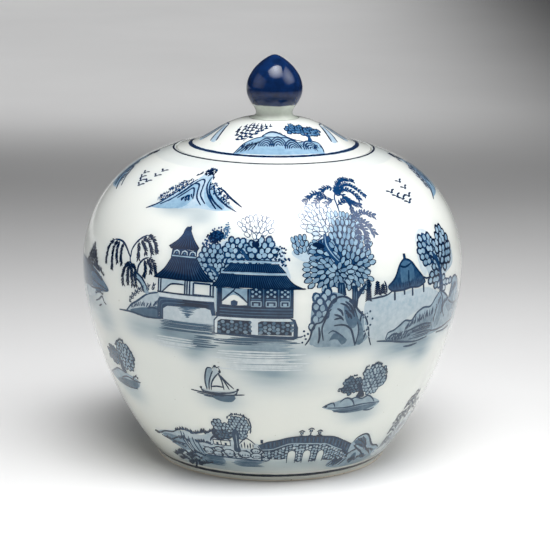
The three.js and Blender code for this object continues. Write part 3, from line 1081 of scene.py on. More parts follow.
def shore_tree(art):
    """A broad tree on the right-hand rocks."""
    art.pool([(86, 131), (84, 137), (90, 142), (97, 138), (90, 124), (88, 118), (84, 122), (83, 130)], MIST)
    art.pool([(88, 124), (90, 137), (99, 132), (106, 138), (117, 130), (118, 120), (108, 116), (96, 112)],
             WASH)
    art.crown((92.5, 131), (7.5, 9), 3.6, root=(0.8, -0.8))
    art.crown((97, 118), (6, 7.4), 3.6, root=(0.8, -0.2))
    art.crown((109, 129.5), (10, 10.4), 3.9, PALE, DARK, root=(-0.7, -0.7))
    art.crown((107, 111.4), (7, 3), 3.4, WASH, STRONG, root=(-1, 0))
    art.pool([(100.6, 108.4), (100.4, 118), (97.8, 124), (95.4, 129), (99, 127), (101.8, 122), (103.6, 115),
              (104.6, 108)], STRONG)
    art.strokes([[(98, 124), (94.6, 127), (92, 128)], [(101.6, 121), (104, 125), (107, 127)],
                 [(100.4, 118), (97, 121)]], 1.1)


def rocky_shore(art):
    """Rocks that climb out of the water on the right, hatched in their hollows."""
    ridge = [(61.4, 88.4), (62.6, 92), (66, 92.8), (70, 95), (73.6, 97), (78, 96.2), (82, 99.8), (87, 101.6),
             (93, 101.2), (97, 104.6), (101.6, 108), (106, 106), (110, 103.6), (113, 101), (115.6, 106),
             (117, 111.4), (122, 111.8), (126.6, 109), (129, 104)]
    art.fill(flow(ridge) + [(136, 98), (140, 92), (126, 87), (100, 85), (80, 84), (66, 86.4)], PALE)
    art.pool([(62.4, 87.6), (64, 89.4), (70, 89.4), (77, 91), (84, 94), (92, 96), (96, 97), (97, 91),
              (98, 87), (84, 84.8), (70, 86.2)], PALE + 0.1)
    art.pool([(103, 104), (105, 103), (107, 97), (104, 89), (99, 89), (101, 97)], PALE + 0.1)
    art.pool([(110, 98), (113, 101), (116, 108), (123, 108), (122, 99), (128, 95), (118, 93)], PALE + 0.12)
    for line, height, lean, width in (
        ([(63.4, 87.4), (68, 88), (75, 88.8)], 4.4, 66, 0.8),
        ([(66, 86.8), (72, 86.6), (78, 87.4)], 2.8, 84, 0.8),
        ([(74, 91.4), (79, 93), (85, 94)], 4.6, 82, 0.9),
        ([(84, 94), (90, 95), (96, 96)], 4.6, 92, 0.9),
        ([(80, 88.8), (88, 90), (95, 89.4)], 2.4, 60, 0.8),
        ([(98, 91), (99.4, 97), (103, 103)], 2.8, 110, 0.8),
        ([(105.4, 94), (108.6, 99), (112, 100)], 4.2, 104, 1.0),
        ([(115, 101), (120, 105), (124, 105)], 4.2, 86, 1.0),
    ):
        art.grass(line, height, lean, 0.72, width, STRONG)
    art.ripples(78, 98, 85.4, 90.6, 6, 0.7, STRONG)
    art.strokes([
        ridge[:11],
        ridge[10:14],
        ridge[13:],
        [(62, 88.2), (66, 90.6), (70, 90.2)],
        [(56, 88.3), (64, 87.2), (74, 85.2), (84, 83.8), (94, 84.4)],
        [(75, 90.6), (80, 91.4), (88, 92.4), (96, 91.4)],
        [(75, 82.4), (80, 82), (86, 82.4)],
        [(96, 87), (106, 86.2), (118, 86.8), (130, 88)],
        [(104, 84.6), (114, 83.8), (122, 84.4)],
        [(113, 100.6), (120, 97.4), (130, 96), (140, 94)],
        [(102, 107.6), (105, 103), (106.6, 97), (110, 92)],
    ], 1.15, STRONG)


def headland(art):
    """The low wooded point on the left."""
    art.pool([(-152, 112), (-140, 117), (-126, 117), (-112, 115), (-102, 111), (-97, 106.4), (-108, 104),
              (-124, 101), (-142, 103), (-154, 107)], MID)
    art.pool([(-150, 104), (-132, 103), (-116, 105), (-112, 101), (-128, 98), (-146, 99)], WASH)
    for row in range(7):
        s = 115.6 + 1.75 * row
        half = 9.8 - 1.35 * row
        branch = [(-117.4 - half, s - 1.2), (-117.4, s + 0.6), (-117.4 + half, s - 1.2)]
        art.grass(branch, 2.4, 125, 1.1, 1.0, DARK)
        art.grass(branch, 2.4, 55, 1.1, 1.0, DARK)
    art.brush([(-117, 112), (-117.6, 118), (-117.2, 128.4)], 1.3, DARK)
    for line in (
        [(-132, 116), (-124, 115), (-116, 114)],
        [(-124, 112), (-114, 112.6), (-104, 110)],
        [(-114, 116), (-108, 115.4), (-102, 113)],
    ):
        art.grass(line, 2.8, 88, 0.8, 1.0)
    art.strokes([
        [(-154, 110), (-140, 112.6), (-128, 110.6), (-114, 108.6), (-104, 107.4), (-97, 106.6)],
        [(-134, 106), (-120, 104.2), (-108, 105.4), (-98, 106)],
        [(-114, 97.8), (-109, 99.6), (-104.6, 102), (-103, 99.4), (-100.6, 98.4)],
        [(-110, 95.8), (-106, 97.4)],
        [(-142, 108), (-132, 106), (-124, 107)],
    ], 1.1, STRONG)
    art.grass([(-113, 101.4), (-108, 103), (-104, 102.6)], 2.2, 80, 0.8, 0.8, STRONG)


def low_point(art):
    """A reedy spit that joins the right-hand shore to the next headland."""
    art.pool([(140, 96), (148, 103), (158, 107.6), (166, 104), (172, 98), (160, 93), (148, 92)], WASH)
    art.grass([(144, 97), (152, 99), (162, 99), (168, 97)], 4.4, 86, 1.0, 0.8, STRONG)
    art.grass([(150, 104), (157, 107), (163, 105)], 5.5, 96, 0.9, 0.8)
    art.strokes([
        [(139, 94.6), (146, 101.4), (152, 105), (158, 107.6), (166, 104), (172, 98.4)],
        [(136, 92), (148, 91), (160, 91.6), (174, 94)],
        [(144, 88.8), (154, 88), (164, 88.8)],
    ], 1.1, STRONG)


def sailing_boat(art):
    """A small boat with two narrow sails, and its reflection."""
    art.pool([(-33, 58.6), (-30, 56), (-25, 55.2), (-21, 56), (-20, 59.6)], MID)
    art.pool([(-39, 62.8), (-37.6, 60.2), (-28, 59.4), (-20, 60), (-17.8, 63.4), (-22, 62), (-34, 61.6)],
             WASH)
    art.pool([(-35.6, 62.4), (-35.8, 68), (-34.6, 74), (-33.4, 75.4), (-31, 74.6), (-32.6, 70), (-34, 65)],
             PALE)
    art.pool([(-34, 62.6), (-33.2, 68), (-31, 73), (-30, 76), (-28.6, 74.6), (-27.4, 73), (-31, 69.4),
              (-33, 65)], WASH)
    art.strokes([
        [(-35.4, 62), (-36, 67), (-35.2, 72), (-33.8, 75.2), (-31.4, 75)],
        [(-34.2, 62), (-33.8, 66), (-32.6, 70), (-31, 73.6)],
        [(-33, 62), (-32.4, 66), (-30.6, 69.4), (-28, 72.4)],
        [(-31, 75), (-30, 76.6), (-28.6, 75.6), (-27, 76.4)],
        [(-27.6, 75.4), (-26.8, 73), (-28, 72.4), (-26.6, 68.6), (-25.6, 62.6)],
        [(-27.6, 72), (-24.6, 67), (-22.6, 63)],
        [(-27.4, 71.6), (-23.4, 67), (-20, 63.6)],
    ], 0.9)
    art.strokes([
        [(-39.2, 63), (-37.4, 61), (-30, 60.4), (-22, 61.2), (-18.6, 62.6), (-17.4, 63.6)],
        [(-38.6, 62.6), (-37.6, 60.2), (-28, 59.6), (-20, 60), (-18, 63)],
        [(-33, 64), (-29.6, 64.6), (-25.6, 64.2)],
        [(-45.4, 60.8), (-38, 60), (-28, 59.4), (-14.4, 60.4)],
    ])
    art.strokes([[(-42, 59.4), (-34, 58.6), (-26, 58.8)], [(-38, 58.2), (-32, 57.6)]], 0.7, STRONG)
    for u, s in ((-39, 63), (-18, 63.4), (-29.6, 76.4), (-27.2, 73.6)):
        art.spot(u, s, 0.75, DARK)


def right_islet(art):
    """A rock with a bushy tree."""
    art.pool([(30, 52), (36, 54.6), (44, 56.4), (52, 55.8), (58, 55.6), (63, 54), (68, 50.6), (62, 47),
              (50, 48), (42, 47.2), (36, 49.6)], PALE)
    art.pool([(36, 49.6), (46, 50), (60, 50.6), (66, 49.8), (58, 47.2), (44, 47)], MID)
    art.crown((59, 66), (8, 8.6), 2.3, PALE, STRONG)
    art.crown((45.6, 64), (5.6, 5), 2.0, MID, root=(1, -0.6))
    art.fringe([(36.6, 62.4), (40, 62), (44, 62)], 1.9, 55, 0.9)
    art.pool([(49.4, 56.4), (50.6, 60), (48.6, 65), (51, 65), (53, 60.6), (55, 56.4)], LINE)
    for line in ([(51, 70), (52.4, 73), (54, 74)], [(56, 73.6), (59, 75), (62, 73.6)],
                 [(64, 71.6), (67, 68), (68, 64)], [(41, 67), (44, 69), (47.6, 69.4)]):
        art.grass(line, 1.8, 90, 0.7, 0.9)
    art.strokes([
        [(29.6, 52), (33, 53.6), (36, 54.4), (37.4, 51.6)],
        [(40, 54.4), (43, 56.6), (46.6, 55.8), (49, 53), (50, 50.4)],
        [(46, 55.4), (50, 56.4), (54, 55), (57.6, 56.4), (61, 54.6), (63.6, 51.6)],
        [(33, 51.4), (44, 50.6), (56, 51.4), (68, 50.6)],
        [(37, 48.6), (46, 48), (54, 48.6)],
        [(57, 47.2), (62, 46.6), (65, 47.6)],
    ], 1.0, STRONG)
    art.spot(31.8, 52.6, 1.0)


def left_islet(art):
    """A leaning tree over a flat rock."""
    art.pool([(-121, 55.4), (-112, 59), (-104, 61.6), (-96, 61), (-88, 59.6), (-84, 57.4), (-88, 53),
              (-100, 52), (-112, 52)], PALE)
    art.pool([(-112, 53), (-104, 56), (-94, 57), (-86, 57), (-89, 52.8), (-104, 51.4)], MID)
    art.crown((-91.5, 71.5), (8.4, 8.2), 2.6, PALE, STRONG)
    art.crown((-104, 69.6), (7.4, 4.8), 2.5, MID, STRONG, root=(1, -0.5))
    art.pool([(-99, 61), (-99.4, 67), (-97, 70), (-95.6, 65), (-94.6, 61)], STRONG)
    for line in ([(-99, 76), (-94, 79.6), (-90, 79.8)], [(-112, 66), (-108, 70), (-104, 74)],
                 [(-86, 77), (-83.6, 73), (-84.6, 67)]):
        art.grass(line, 2.2, 92, 0.7, 1.0, STRONG)
    art.grass([(-90, 58), (-87, 60), (-85, 59)], 2.4, 60, 0.7, 0.9)
    art.strokes([
        [(-122, 55), (-112, 58.8), (-105, 61.4), (-98, 61)],
        [(-104, 56), (-96, 58.6), (-88, 57.6), (-83, 57.6)],
        [(-112, 52.6), (-100, 51.6), (-88, 52.6)],
    ], 1.0, STRONG)


def island(art):
    """A long island with cliffs and hatched banks."""
    art.pool([(-86, 25), (-76, 28.4), (-66, 30), (-56, 31.6), (-46, 30.6), (-40, 33), (-28, 30), (-14, 29),
              (-4, 26), (0, 21), (-6, 16), (-20, 13), (-34, 13), (-50, 13), (-62, 12), (-72, 19)], WASH)
    art.pool([(-82, 24.4), (-76, 26.4), (-67, 26), (-62, 25), (-60, 17.6), (-68, 17), (-76, 20.4)],
             PALE + 0.06)
    art.pool([(-58, 25), (-54, 27), (-50, 25), (-47, 17), (-52, 13), (-57, 14)], PALE)
    art.pool([(-50, 15), (-36, 15.6), (-34, 11), (-46, 8.4), (-54, 10)], PALE + 0.1)
    art.pool([(-26, 13.6), (-14, 15), (-6, 14), (-12, 10), (-20, 9), (-26, 10.6)], PALE)
    art.ripples(-52, -30, 8.4, 15.6, 8, 0.9)
    art.ripples(-30, -2, 9.4, 14.8, 6, 0.8)
    art.strokes([
        [(-91, 24.4), (-84, 25), (-78, 27.4), (-70, 28.6), (-66, 30.4)],
        [(-62, 31), (-62.6, 26), (-61, 20), (-58, 16.4)],
        [(-60, 30), (-60.4, 25), (-58, 18.4)],
        [(-57, 28), (-57.4, 22), (-55, 16.4)],
        [(-54, 28), (-54, 23), (-52, 17)],
        [(-51, 27), (-50, 21), (-49, 16.4)],
        [(-84, 23.4), (-76, 22), (-68, 25), (-63, 26)],
        [(-76, 19.6), (-68, 21.4), (-62, 21)],
        [(-48, 22.4), (-42, 21.8), (-36, 23), (-31, 24)],
    ], 1.15, STRONG)
    art.grass([(-80, 22), (-72, 20), (-64, 18)], 3.4, 60, 0.8, 0.8, STRONG)
    art.leaf(-91.4, 24.6, 7, 2.6, 0)
    for line, height in (
        ([(-66, 30), (-60, 31.6), (-54, 31)], 2.8),
        ([(-54, 30), (-47, 31.4), (-43, 33)], 3.0),
        ([(-43, 31.6), (-38, 34), (-34, 36)], 2.6),
        ([(-66, 24), (-62, 25), (-58, 23)], 3.0),
        ([(-52, 24), (-46, 25), (-41, 24)], 3.0),
    ):
        art.grass(line, height, 95, 0.5, 1.0)
        art.grass(line, height * 0.8, 55, 0.9, 0.8, STRONG)


def island_trees(art):
    """Two round trees behind the cottages, and the trunk of one."""
    art.crown((-31.6, 37.6), (5, 4.8), 2.6)
    art.pool([(-38, 33), (-36, 36), (-28, 36), (-24, 34), (-26, 30.4), (-34, 30.4)], LINE)
    art.crown((-30, 33.2), (6, 2.8), 2.2, MID)
    art.crown((-19.5, 39.6), (7.2, 7.4), 2.2)
    art.crown((-17.6, 33.4), (3, 2.6), 2.2, PALE, STRONG)
    art.grass([(-26, 44), (-24, 46.4), (-19, 47), (-14, 45), (-12, 40), (-12.6, 35)], 1.8, 90, 0.7, 0.9)
    art.pool([(-24.6, 21.6), (-24, 28), (-24.6, 34), (-22, 38), (-19.8, 34), (-20.6, 27), (-20, 21.4)],
             STRONG)
    art.brush([(-22, 24), (-21.8, 34)], 0.5, PALE)


def cottages(art):
    """Two low cottages side by side, and a gabled one."""
    for left, width in ((-38.4, 5.4), (-33, 6.4)):
        art.shape(block(left, 25.4, left + width, 28.8), BARE)
        art.outline(block(left, 25.2, left + width, 28.8), 0.7)
        art.shape(block(left + width / 2 - 0.8, 25.4, left + width / 2 + 0.8, 27.2), STRONG)
    art.strokes([[(-40, 28.4), (-36.6, 31.6), (-33, 29.4), (-29, 30.4), (-25.6, 28.8)],
                 [(-40.6, 27.2), (-39, 29.6), (-36.6, 30.6), (-33.4, 28.6)]], 1.2)
    art.shape([(-19.6, 24), (-19.6, 27.6), (-15.4, 31.4), (-10.8, 27.6), (-10.8, 24)], BARE)
    art.strokes([[(-20.4, 27.2), (-15.6, 31.6), (-9.8, 27.4)], [(-19, 24.2), (-19, 27.4)],
                 [(-15, 24), (-15, 27.2)], [(-11.4, 25), (-11.4, 27.6)], [(-17, 24.2), (-17, 29)],
                 [(-13.2, 24.2), (-13.2, 28.4)]], 0.9)


def boulders(art):
    """Rounded boulders on the island, and shrubs at the water's edge."""
    for u, s, size, width in ((-44, 19.4, 2.6, 1.5), (-37.4, 18, 2.2, 1.6), (-36, 21.6, 1.9, 1.6),
                              (-28.6, 19.6, 2.9, 1.3), (-22.4, 17.6, 1.9, 1.4), (-17.6, 19.4, 2.8, 1.6),
                              (-9.6, 18.6, 2.3, 1.7), (-10, 22.4, 1.8, 1.8), (-2.6, 19.6, 2.2, 1.6),
                              (-3.4, 16, 1.5, 1.8)):
        art.spot(u, s, size + 0.5, LINE, width)
        art.spot(u, s, size - 0.3, WASH, width)
        art.grass([(u - size, s - size * 0.6), (u + size, s - size * 0.6)], size * 0.8, 84, 0.75, 0.5, STRONG)
    art.brush([(-50, 15.8), (-34, 16), (-16, 15.4), (-2, 14.6)], 1.2, STRONG)
    for line in ([(-80, 9), (-74, 11), (-70, 9)], [(-76, 6), (-70, 8), (-66, 6)],
                 [(-72, 13), (-67, 14.4), (-63, 12)], [(-68, 3.6), (-62, 7), (-57, 9)],
                 [(-64, 9), (-58, 12.4), (-54, 11)], [(-58, 4.6), (-53, 7), (-49, 8.4)],
                 [(-76, 11), (-70, 13)], [(-60, 14), (-55, 15.4), (-50, 14)], [(-66, 11), (-61, 13)]):
        art.grass(line, 3.2, 128, 0.6, 1.3)
        art.grass(line, 2.6, 50, 0.8, 1.1, STRONG)
    art.strokes([[(-66, 1.2), (-63, 4), (-60, 8)], [(-60, 8), (-52, 8), (-44, 10)]], 1.5)


def stone_bridge(art):
    """A humped bridge of rubble with three arches, a paved deck and three lantern posts."""
    deck = [(-8, 26.6), (-2, 29.2), (4, 30.4), (10, 32), (16, 33), (24, 33), (32, 32.4), (42, 31), (50, 27.4),
            (58, 23.6)]
    under = [(-6, 23.6), (2, 24.4), (8, 26.8), (14, 28.4), (24, 27.8), (32, 27.2), (38, 26.4), (44, 23.6),
             (52, 20.4), (58, 16.6)]
    foot = [(-4, 16.8), (6, 16), (12, 16.6), (17, 14.6), (20, 14), (23, 15), (28, 14), (30, 13.6), (33, 14.6),
            (38, 14.6), (44, 13), (50, 12.6), (58, 12)]
    art.fill(flow(under) + flow(foot)[::-1], LINE)
    art.rubble(foot, under, 2.3)
    art.fill(flow(deck) + flow(under)[::-1], STRONG)
    for u, half, tall in ((14.7, 2.6, 22.8), (25.4, 2.5, 22.6), (35.6, 2.2, 21.8)):
        arch = [(u - half, 13), (u - half, tall - 2.4), (u - half * 0.7, tall - 0.7), (u, tall),
                (u + half * 0.7, tall - 0.7), (u + half, tall - 2.4), (u + half, 13)]
        art.brush(arch, 1.3, tip=1)
        art.shape(arch, BARE)
    art.strokes([[(17, 15.4), (20, 14), (23, 15.2)], [(28, 14.8), (30.4, 13.6), (33.4, 14.6)],
                 [(38, 14.6), (44, 13.4)]])
    for i in range(44):
        u = -4 + i * 1.4
        high = np.interp(u, *zip(*deck)) - 0.6
        low = np.interp(u, *zip(*under)) + 0.7
        art.brush([(u, low), (u - 0.3, high)], 0.5, MID if i % 2 else DARK)
    art.brush([(-6, 23.4), (2, 24.2), (8, 26.6), (14, 28.2), (24, 27.7), (32, 27.1), (38, 26.3), (44, 23.4),
               (52, 20)], 0.8, PALE, tip=0.8)
    art.strokes([deck, [(-8.4, 26.2), (-5, 22.6), (2, 23.4), (8, 25.6), (14, 27.2)]])
    art.shape(block(-6.4, 28.4, -4.6, 31), LINE)
    for u, s in ((19.6, 35), (25.4, 36.4), (31.2, 34.6)):
        art.brush([(u, 32.4), (u, s)], 0.9)
        art.shape(block(u - 1.1, s - 0.4, u + 1.1, s + 1.3), LINE)
        art.shape(block(u - 0.4, s, u + 0.4, s + 0.9), PALE)
        art.brush([(u - 2, s + 1.2), (u, s + 2.3), (u + 2, s + 1.2)], 0.9)
        art.brush([(u - 2.2, 32.8), (u, 33.6), (u + 2.2, 32.8)])


def bridge_rocks(art):
    """Boulders at the bridge's right-hand end, running down into the water."""
    art.pool([(44, 8), (46, 14), (52, 18), (58, 24), (61, 27.4), (66, 29), (70, 28.6), (74, 24.4), (79, 19.4),
              (86, 16.8), (92, 14), (90, 9), (80, 7), (66, 5), (52, 5.6)], PALE)
    for hollow in (
        [(60, 24.6), (64, 26.4), (69, 24.4), (74, 20), (72, 18), (65, 21)],
        [(50, 18), (56, 18.6), (60, 15.6), (57, 11), (53, 8), (48, 9)],
        [(64, 14), (66.6, 15.4), (69, 11), (66.4, 7), (64, 8)],
        [(72, 13.6), (77, 12.6), (80, 9.4), (76, 8.8)],
    ):
        art.pool(hollow, MID)
    art.strokes([
        [(59.6, 24.4), (60.6, 27), (64, 28.8), (68, 29), (71, 27.4), (74, 24.4), (78, 20.4), (82, 17.8),
         (87, 16.8), (92, 14)],
        [(61, 22), (65, 19), (70, 16), (74, 13), (79, 9)],
        [(63, 25.6), (67, 24), (72, 20), (76, 16.4), (81, 13.4), (85, 10.4)],
        [(66, 27.4), (70, 24), (73, 20)],
        [(58, 15), (62, 17.4), (66, 18.6)],
        [(44, 8), (49, 13), (54, 16.6)],
        [(46, 7.4), (52, 12), (57, 16)],
        [(50, 7), (56, 11.6), (60, 16)],
        [(55, 7), (60, 12)],
    ], 1.3)
    for line, height, lean in (
        ([(62, 23), (67, 22), (72, 19)], 3.0, -50),
        ([(62, 27), (66, 27), (70, 25)], 2.6, -70),
        ([(48, 12), (54, 14), (58, 15)], 3.6, -60),
        ([(63, 11), (66, 13), (69, 11)], 3.8, -75),
        ([(70, 12), (75, 12), (80, 11)], 3.0, -60),
        ([(62, 9), (66, 9), (70, 8)], 3.0, 60),
        ([(76, 17), (81, 16), (86, 14)], 2.6, -60),
    ):
        art.grass(line, height, lean, 0.7, 0.9)


def far_shrubs(art):
    """Loose shrubs that climb the lower right."""
    art.pool([(88, 10), (98, 18), (104, 26), (112, 34), (124, 30), (136, 22), (130, 8), (100, 6)], MIST)
    for u, s, reach_out in ((98, 26, 4), (104, 34, 5), (110, 24, 5), (103, 42, 4), (113, 38, 5), (99, 17, 4),
                            (121, 29, 5), (112, 14, 5), (124, 19, 4), (97, 33, 3), (108, 45, 3)):
        for rise, lean in ((-2.4, 112), (0, 84), (2.4, 60)):
            line = [(u - reach_out, s + rise - 1), (u, s + rise + 1), (u + reach_out, s + rise - 1)]
            art.grass(line, 2.7, lean, 1.2, 1.1, LINE if rise else STRONG)
    art.strokes([[(92, 12), (100, 15), (108, 21), (112, 30)], [(106, 20), (118, 26), (128, 28)],
                 [(102, 30), (103, 38)]], 1.2, STRONG)


def lid_hill(art):
    """A rounded hill with a feathery tree on its left and a beaded tree on its right."""
    hill = [(-20, 8.6), (-19.6, 14), (-18, 19), (-13, 23), (-8.6, 24.6), (-6, 27.6), (-2, 29.4), (3, 28.6),
            (8, 25), (12, 22.6), (15.6, 20.6), (20, 20), (25, 20.4), (28.6, 18), (28, 13), (26, 8.6)]
    art.fill(flow(hill), PALE)
    art.pool([(-6, 25.4), (-2, 28), (3, 27), (6, 24.6), (0, 24)], WASH)
    art.strokes([
        hill[:9],
        [(-9, 24.6), (-3, 24.6), (4, 24.4), (9, 24), (12, 22.4), (14.6, 20.6), (15.4, 14.6)],
        [(15, 19.6), (20, 20.4), (25, 20.2), (28.8, 18.4), (28.4, 14), (26.4, 10)],
    ], 0.85)
    for u, s, length, lean in ((-17, 18.4, 5.4, -80), (-13, 20, 4.6, -76), (17, 19, 4.8, -66),
                               (26, 17, 5, -112)):
        art.grass([(u - 2.2, s - 0.8), (u, s + 0.8), (u + 2.2, s)], length, lean, 0.95, 0.7)
    for i in range(5):
        art.brush([(-19 + 1.8 * i, 10 + i), (-17.6 + 1.8 * i, 14.6 + i), (-15 + 1.8 * i, 18 + i)], 0.8, DARK)
    for u, s, size in ((-4.6, 17, 4.5), (2.6, 17.6, 4.9), (11, 15.4, 4.5), (21.6, 14, 4.5)):
        art.arcs(u, s, size, 4, 0.95, 1.5)
    art.grass([(4, 27.4), (6.6, 26), (9, 24.4)], 1.8, 100, 0.6, 0.8)
    art.strokes([[(-8.6, 25.6), (-3, 28.6), (3, 28), (8, 25.4), (13, 22.6), (19, 20.6)]])
    for row in range(6):
        s = 21.4 + row * 2.6
        left = -27 - 6 * math.sin(row * 0.62)
        right = -19 + row * 3.2
        for u in np.arange(left, right, 4.3):
            here = u + art.random.uniform(-0.6, 0.6)
            art.leaf(here, s, 4.2, 1.8, art.random.uniform(-8, 24))
            art.leaf(here + 1.2, s + 0.5, 3, 1.5, art.random.uniform(60, 120))
    art.brush([(-20, 20), (-18, 24), (-13, 28), (-7, 33)], 0.7)
    art.crown((20, 31), (9.4, 5), 2.9, MID)
    art.crown((32, 27.4), (8.4, 4.4), 2.9, MID)
    art.pool([(22, 20), (24.4, 23.4), (22.6, 26), (26.8, 25.6), (26.4, 22), (25.8, 20)], STRONG)


def lid_mountain(art):
    """A tall pale peak at the side of the lid, with bare strips down both its flanks."""
    for side in (1, -1):
        inner, outer, low = (-62.8 + side * du for du in (2.8, 9.8, 22.8))
        art.pool([(outer - side * 3, 29.6), (outer + side, 29), (outer + side * 8, 22), (low, 16.6),
                  (low - side * 4, 16), (outer + side * 4, 21)], WASH)
        art.pool([(inner - side * 2, 28.4), (inner + side * 2, 27.6), (inner + side * 2, 20),
                  (inner + side * 4, 14), (inner - side, 13.6), (inner - side * 2, 20)], WASH)
        art.strokes([
            [(outer, 30), (outer + side * 7, 24.6), (low, 17.4)],
            [(inner, 28.8), (inner + side * 2.6, 24), (inner + side * 3.6, 15)],
        ], 1.5)
        art.strokes([
            [(outer - side * 3, 28.6), (outer + side * 2, 22.6), (low - side * 5, 16)],
            [(inner - side * 2.4, 27), (inner - side * 1.6, 20), (inner - side, 14)],
        ], 1.1, STRONG)
    art.strokes([[(-54, 30.2), (-58, 30.8), (-62.8, 30), (-67.6, 30.8), (-71.6, 30.2)]], 1.0, STRONG)


def band(art, s, width, length, tone=LINE):
    """A painted ring, a little uneven, as a brush leaves it on a turning wheel."""
    steps = 104
    line = []
    for u in np.linspace(-length / 2, length / 2, steps + 1):
        wave = 2 * math.pi * u / length
        line.append((u, s + 0.06 * math.sin(3 * wave) + 0.04 * math.sin(7 * wave + 1)))
    line[-1] = (line[-1][0], line[0][1])
    art.brush(line, width, tone, tip=1, step=3)


# ---- Painting onto the surfaces --------------------------------------------------------
FIRST_LIFT = 0.03                # how far the first sheet of ink stands off the glaze
LAYER_LIFT = 0.004               # and how far each sheet stands off the one before it
SHEET_ANGLE = 0.03               # radians between the points that bend a sheet round the jar

wash_marks = []                  # middles and weights of the jar's painted triangles


def triangulated(sketch, spacing):
    """What shows of a sketch: its points, its triangles, and the tone of each."""
    points, loops = [], []
    for shape in sketch.shapes:
        loops.append(list(range(len(points), len(points) + len(shape))))
        points += shape
    low, high = np.min(points, axis=0), np.max(points, axis=0)
    columns = np.arange(low[0], high[0], spacing)
    rows = np.arange(low[1], high[1], spacing)
    points += [(float(u), float(s)) for u in columns for s in rows]
    vertices = [Vector(point) for point in points]
    flat, _, triangles, _, _, owners = delaunay_2d_cdt(vertices, [], loops, 1, TOUCHING, True)
    tones = [sketch.tones[max(owner)] if owner else BARE for owner in owners]
    kept = [(corners, tone) for corners, tone in zip(triangles, tones) if tone > 0]
    used = sorted({corner for corners, _ in kept for corner in corners})
    fresh = {corner: i for i, corner in enumerate(used)}
    faces = [tuple(fresh[corner] for corner in corners) for corners, _ in kept]
    flat = np.array([tuple(point) for point in flat])[used]
    return flat, faces, [tone for _, tone in kept]


def mark(flat, faces, shades):
    """Notes how much ink lies where on the jar, for its bleed into the glaze."""
    corners = flat[np.array(faces)]
    across, along = corners[:, 1] - corners[:, 0], corners[:, 2] - corners[:, 0]
    areas = abs(across[:, 0] * along[:, 1] - across[:, 1] * along[:, 0]) / 2
    wash_marks.append((corners.mean(axis=1), areas * np.array(shades)))


def paint(name, surface, body, sketch, lift):
    """Joins a sketch's shapes into one sheet of ink, and repeats it on the far side."""
    flat, faces, shades = triangulated(sketch, SHEET_ANGLE * surface.drawing_radius)
    if body == "jar":
        mark(flat, faces, shades)
    places, normals = surface.place(flat[:, 0], flat[:, 1], lift)
    for side, sign in (("front", 1), ("back", -1)):
        turned_over = np.array((sign, sign, 1))
        sheet = new_object(f"{name}_{side}", places * turned_over, faces, normals * turned_over)
        sheet.data.materials.append(INK)
        tone = sheet.data.attributes.new("tone", "FLOAT", "FACE")
        tone.data.foreach_set("value", shades)
        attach(sheet, body)


def draw(*parts, seed):
    """A sketch made by drawing functions. A part is a function or a tuple with its arguments."""
    art = Sketch(seed)
    for part in parts:
        if callable(part):
            part(art)
        else:
            part[0](art, *part[1:])
    return art


def shifted(art, du):
    """The same sketch, further round its surface."""
    art.shapes = [[(u + du, s) for u, s in shape] for shape in art.shapes]
    return art


JAR_SCENE = {
    "painted_mountain": draw(mountain, seed=3),
    "painted_far_mountain": shifted(draw(mountain, seed=4), 207),
    "painted_birds": draw((flock, -104, 167), (flock, 94.5, 159), seed=5),
    "painted_willow": draw(willow, seed=6),
    "painted_pavilions": draw(
        reflections, grove, garden_tower, tower_platform, tower_roofs, tea_house, tea_house_base,
        tea_house_roofs, seed=7),
    "painted_old_trees": draw(old_trees, palm, seed=8),
    "painted_garden_rock": draw(garden_rock, seed=9),
    "painted_hut": draw(firs, hut, seed=10),
    "painted_shore_tree": draw(shore_tree, seed=11),
    "painted_shore": draw(rocky_shore, low_point, seed=12),
    "painted_headland": draw(headland, seed=13),
    "painted_boat": draw(sailing_boat, seed=14),
    "painted_islets": draw(right_islet, left_islet, seed=15),
    "painted_village": draw(island, island_trees, cottages, boulders, seed=16),
    "painted_bridge": draw(bridge_rocks, stone_bridge, seed=17),
    "painted_shrubs": draw(far_shrubs, seed=18),
    "painted_foot_line": draw((band, 1.5, 2.3, HALF_TURN, DARK), seed=19),
    # A dark line on the lip's inner edge, partly cobalt and partly painted shade of the crevice under the
    # lid's brim.
    "lip_line_and_crevice_shade": draw((band, LIP_S + 3.1, 1.0, HALF_TURN, DARK), seed=23),
}
LID_SCENE = {
    "painted_lid_hill": draw(lid_hill, seed=20),
    "painted_lid_mountain": draw(lid_mountain, seed=21),
    "painted_lid_ring": draw((band, 8.0, 2.3, LID_HALF_TURN), seed=22),
}
for layer, (name, sketch) in enumerate(JAR_SCENE.items()):
    paint(name, JAR_SURFACE, "jar", sketch, FIRST_LIFT + LAYER_LIFT * layer)
for layer, (name, sketch) in enumerate(LID_SCENE.items()):
    paint(name, LID_SURFACE, "lid", sketch, FIRST_LIFT + LAYER_LIFT * layer)

BLEED_ROWS = 200                 # rows of the bleed map, one for each millimetre up the jar
BLEED_REACH, BLEED_BLUR = 7, 3.2       # how far the bleed goes, and how fast it fades, in millimetres
BLEED_STRENGTH = 0.16

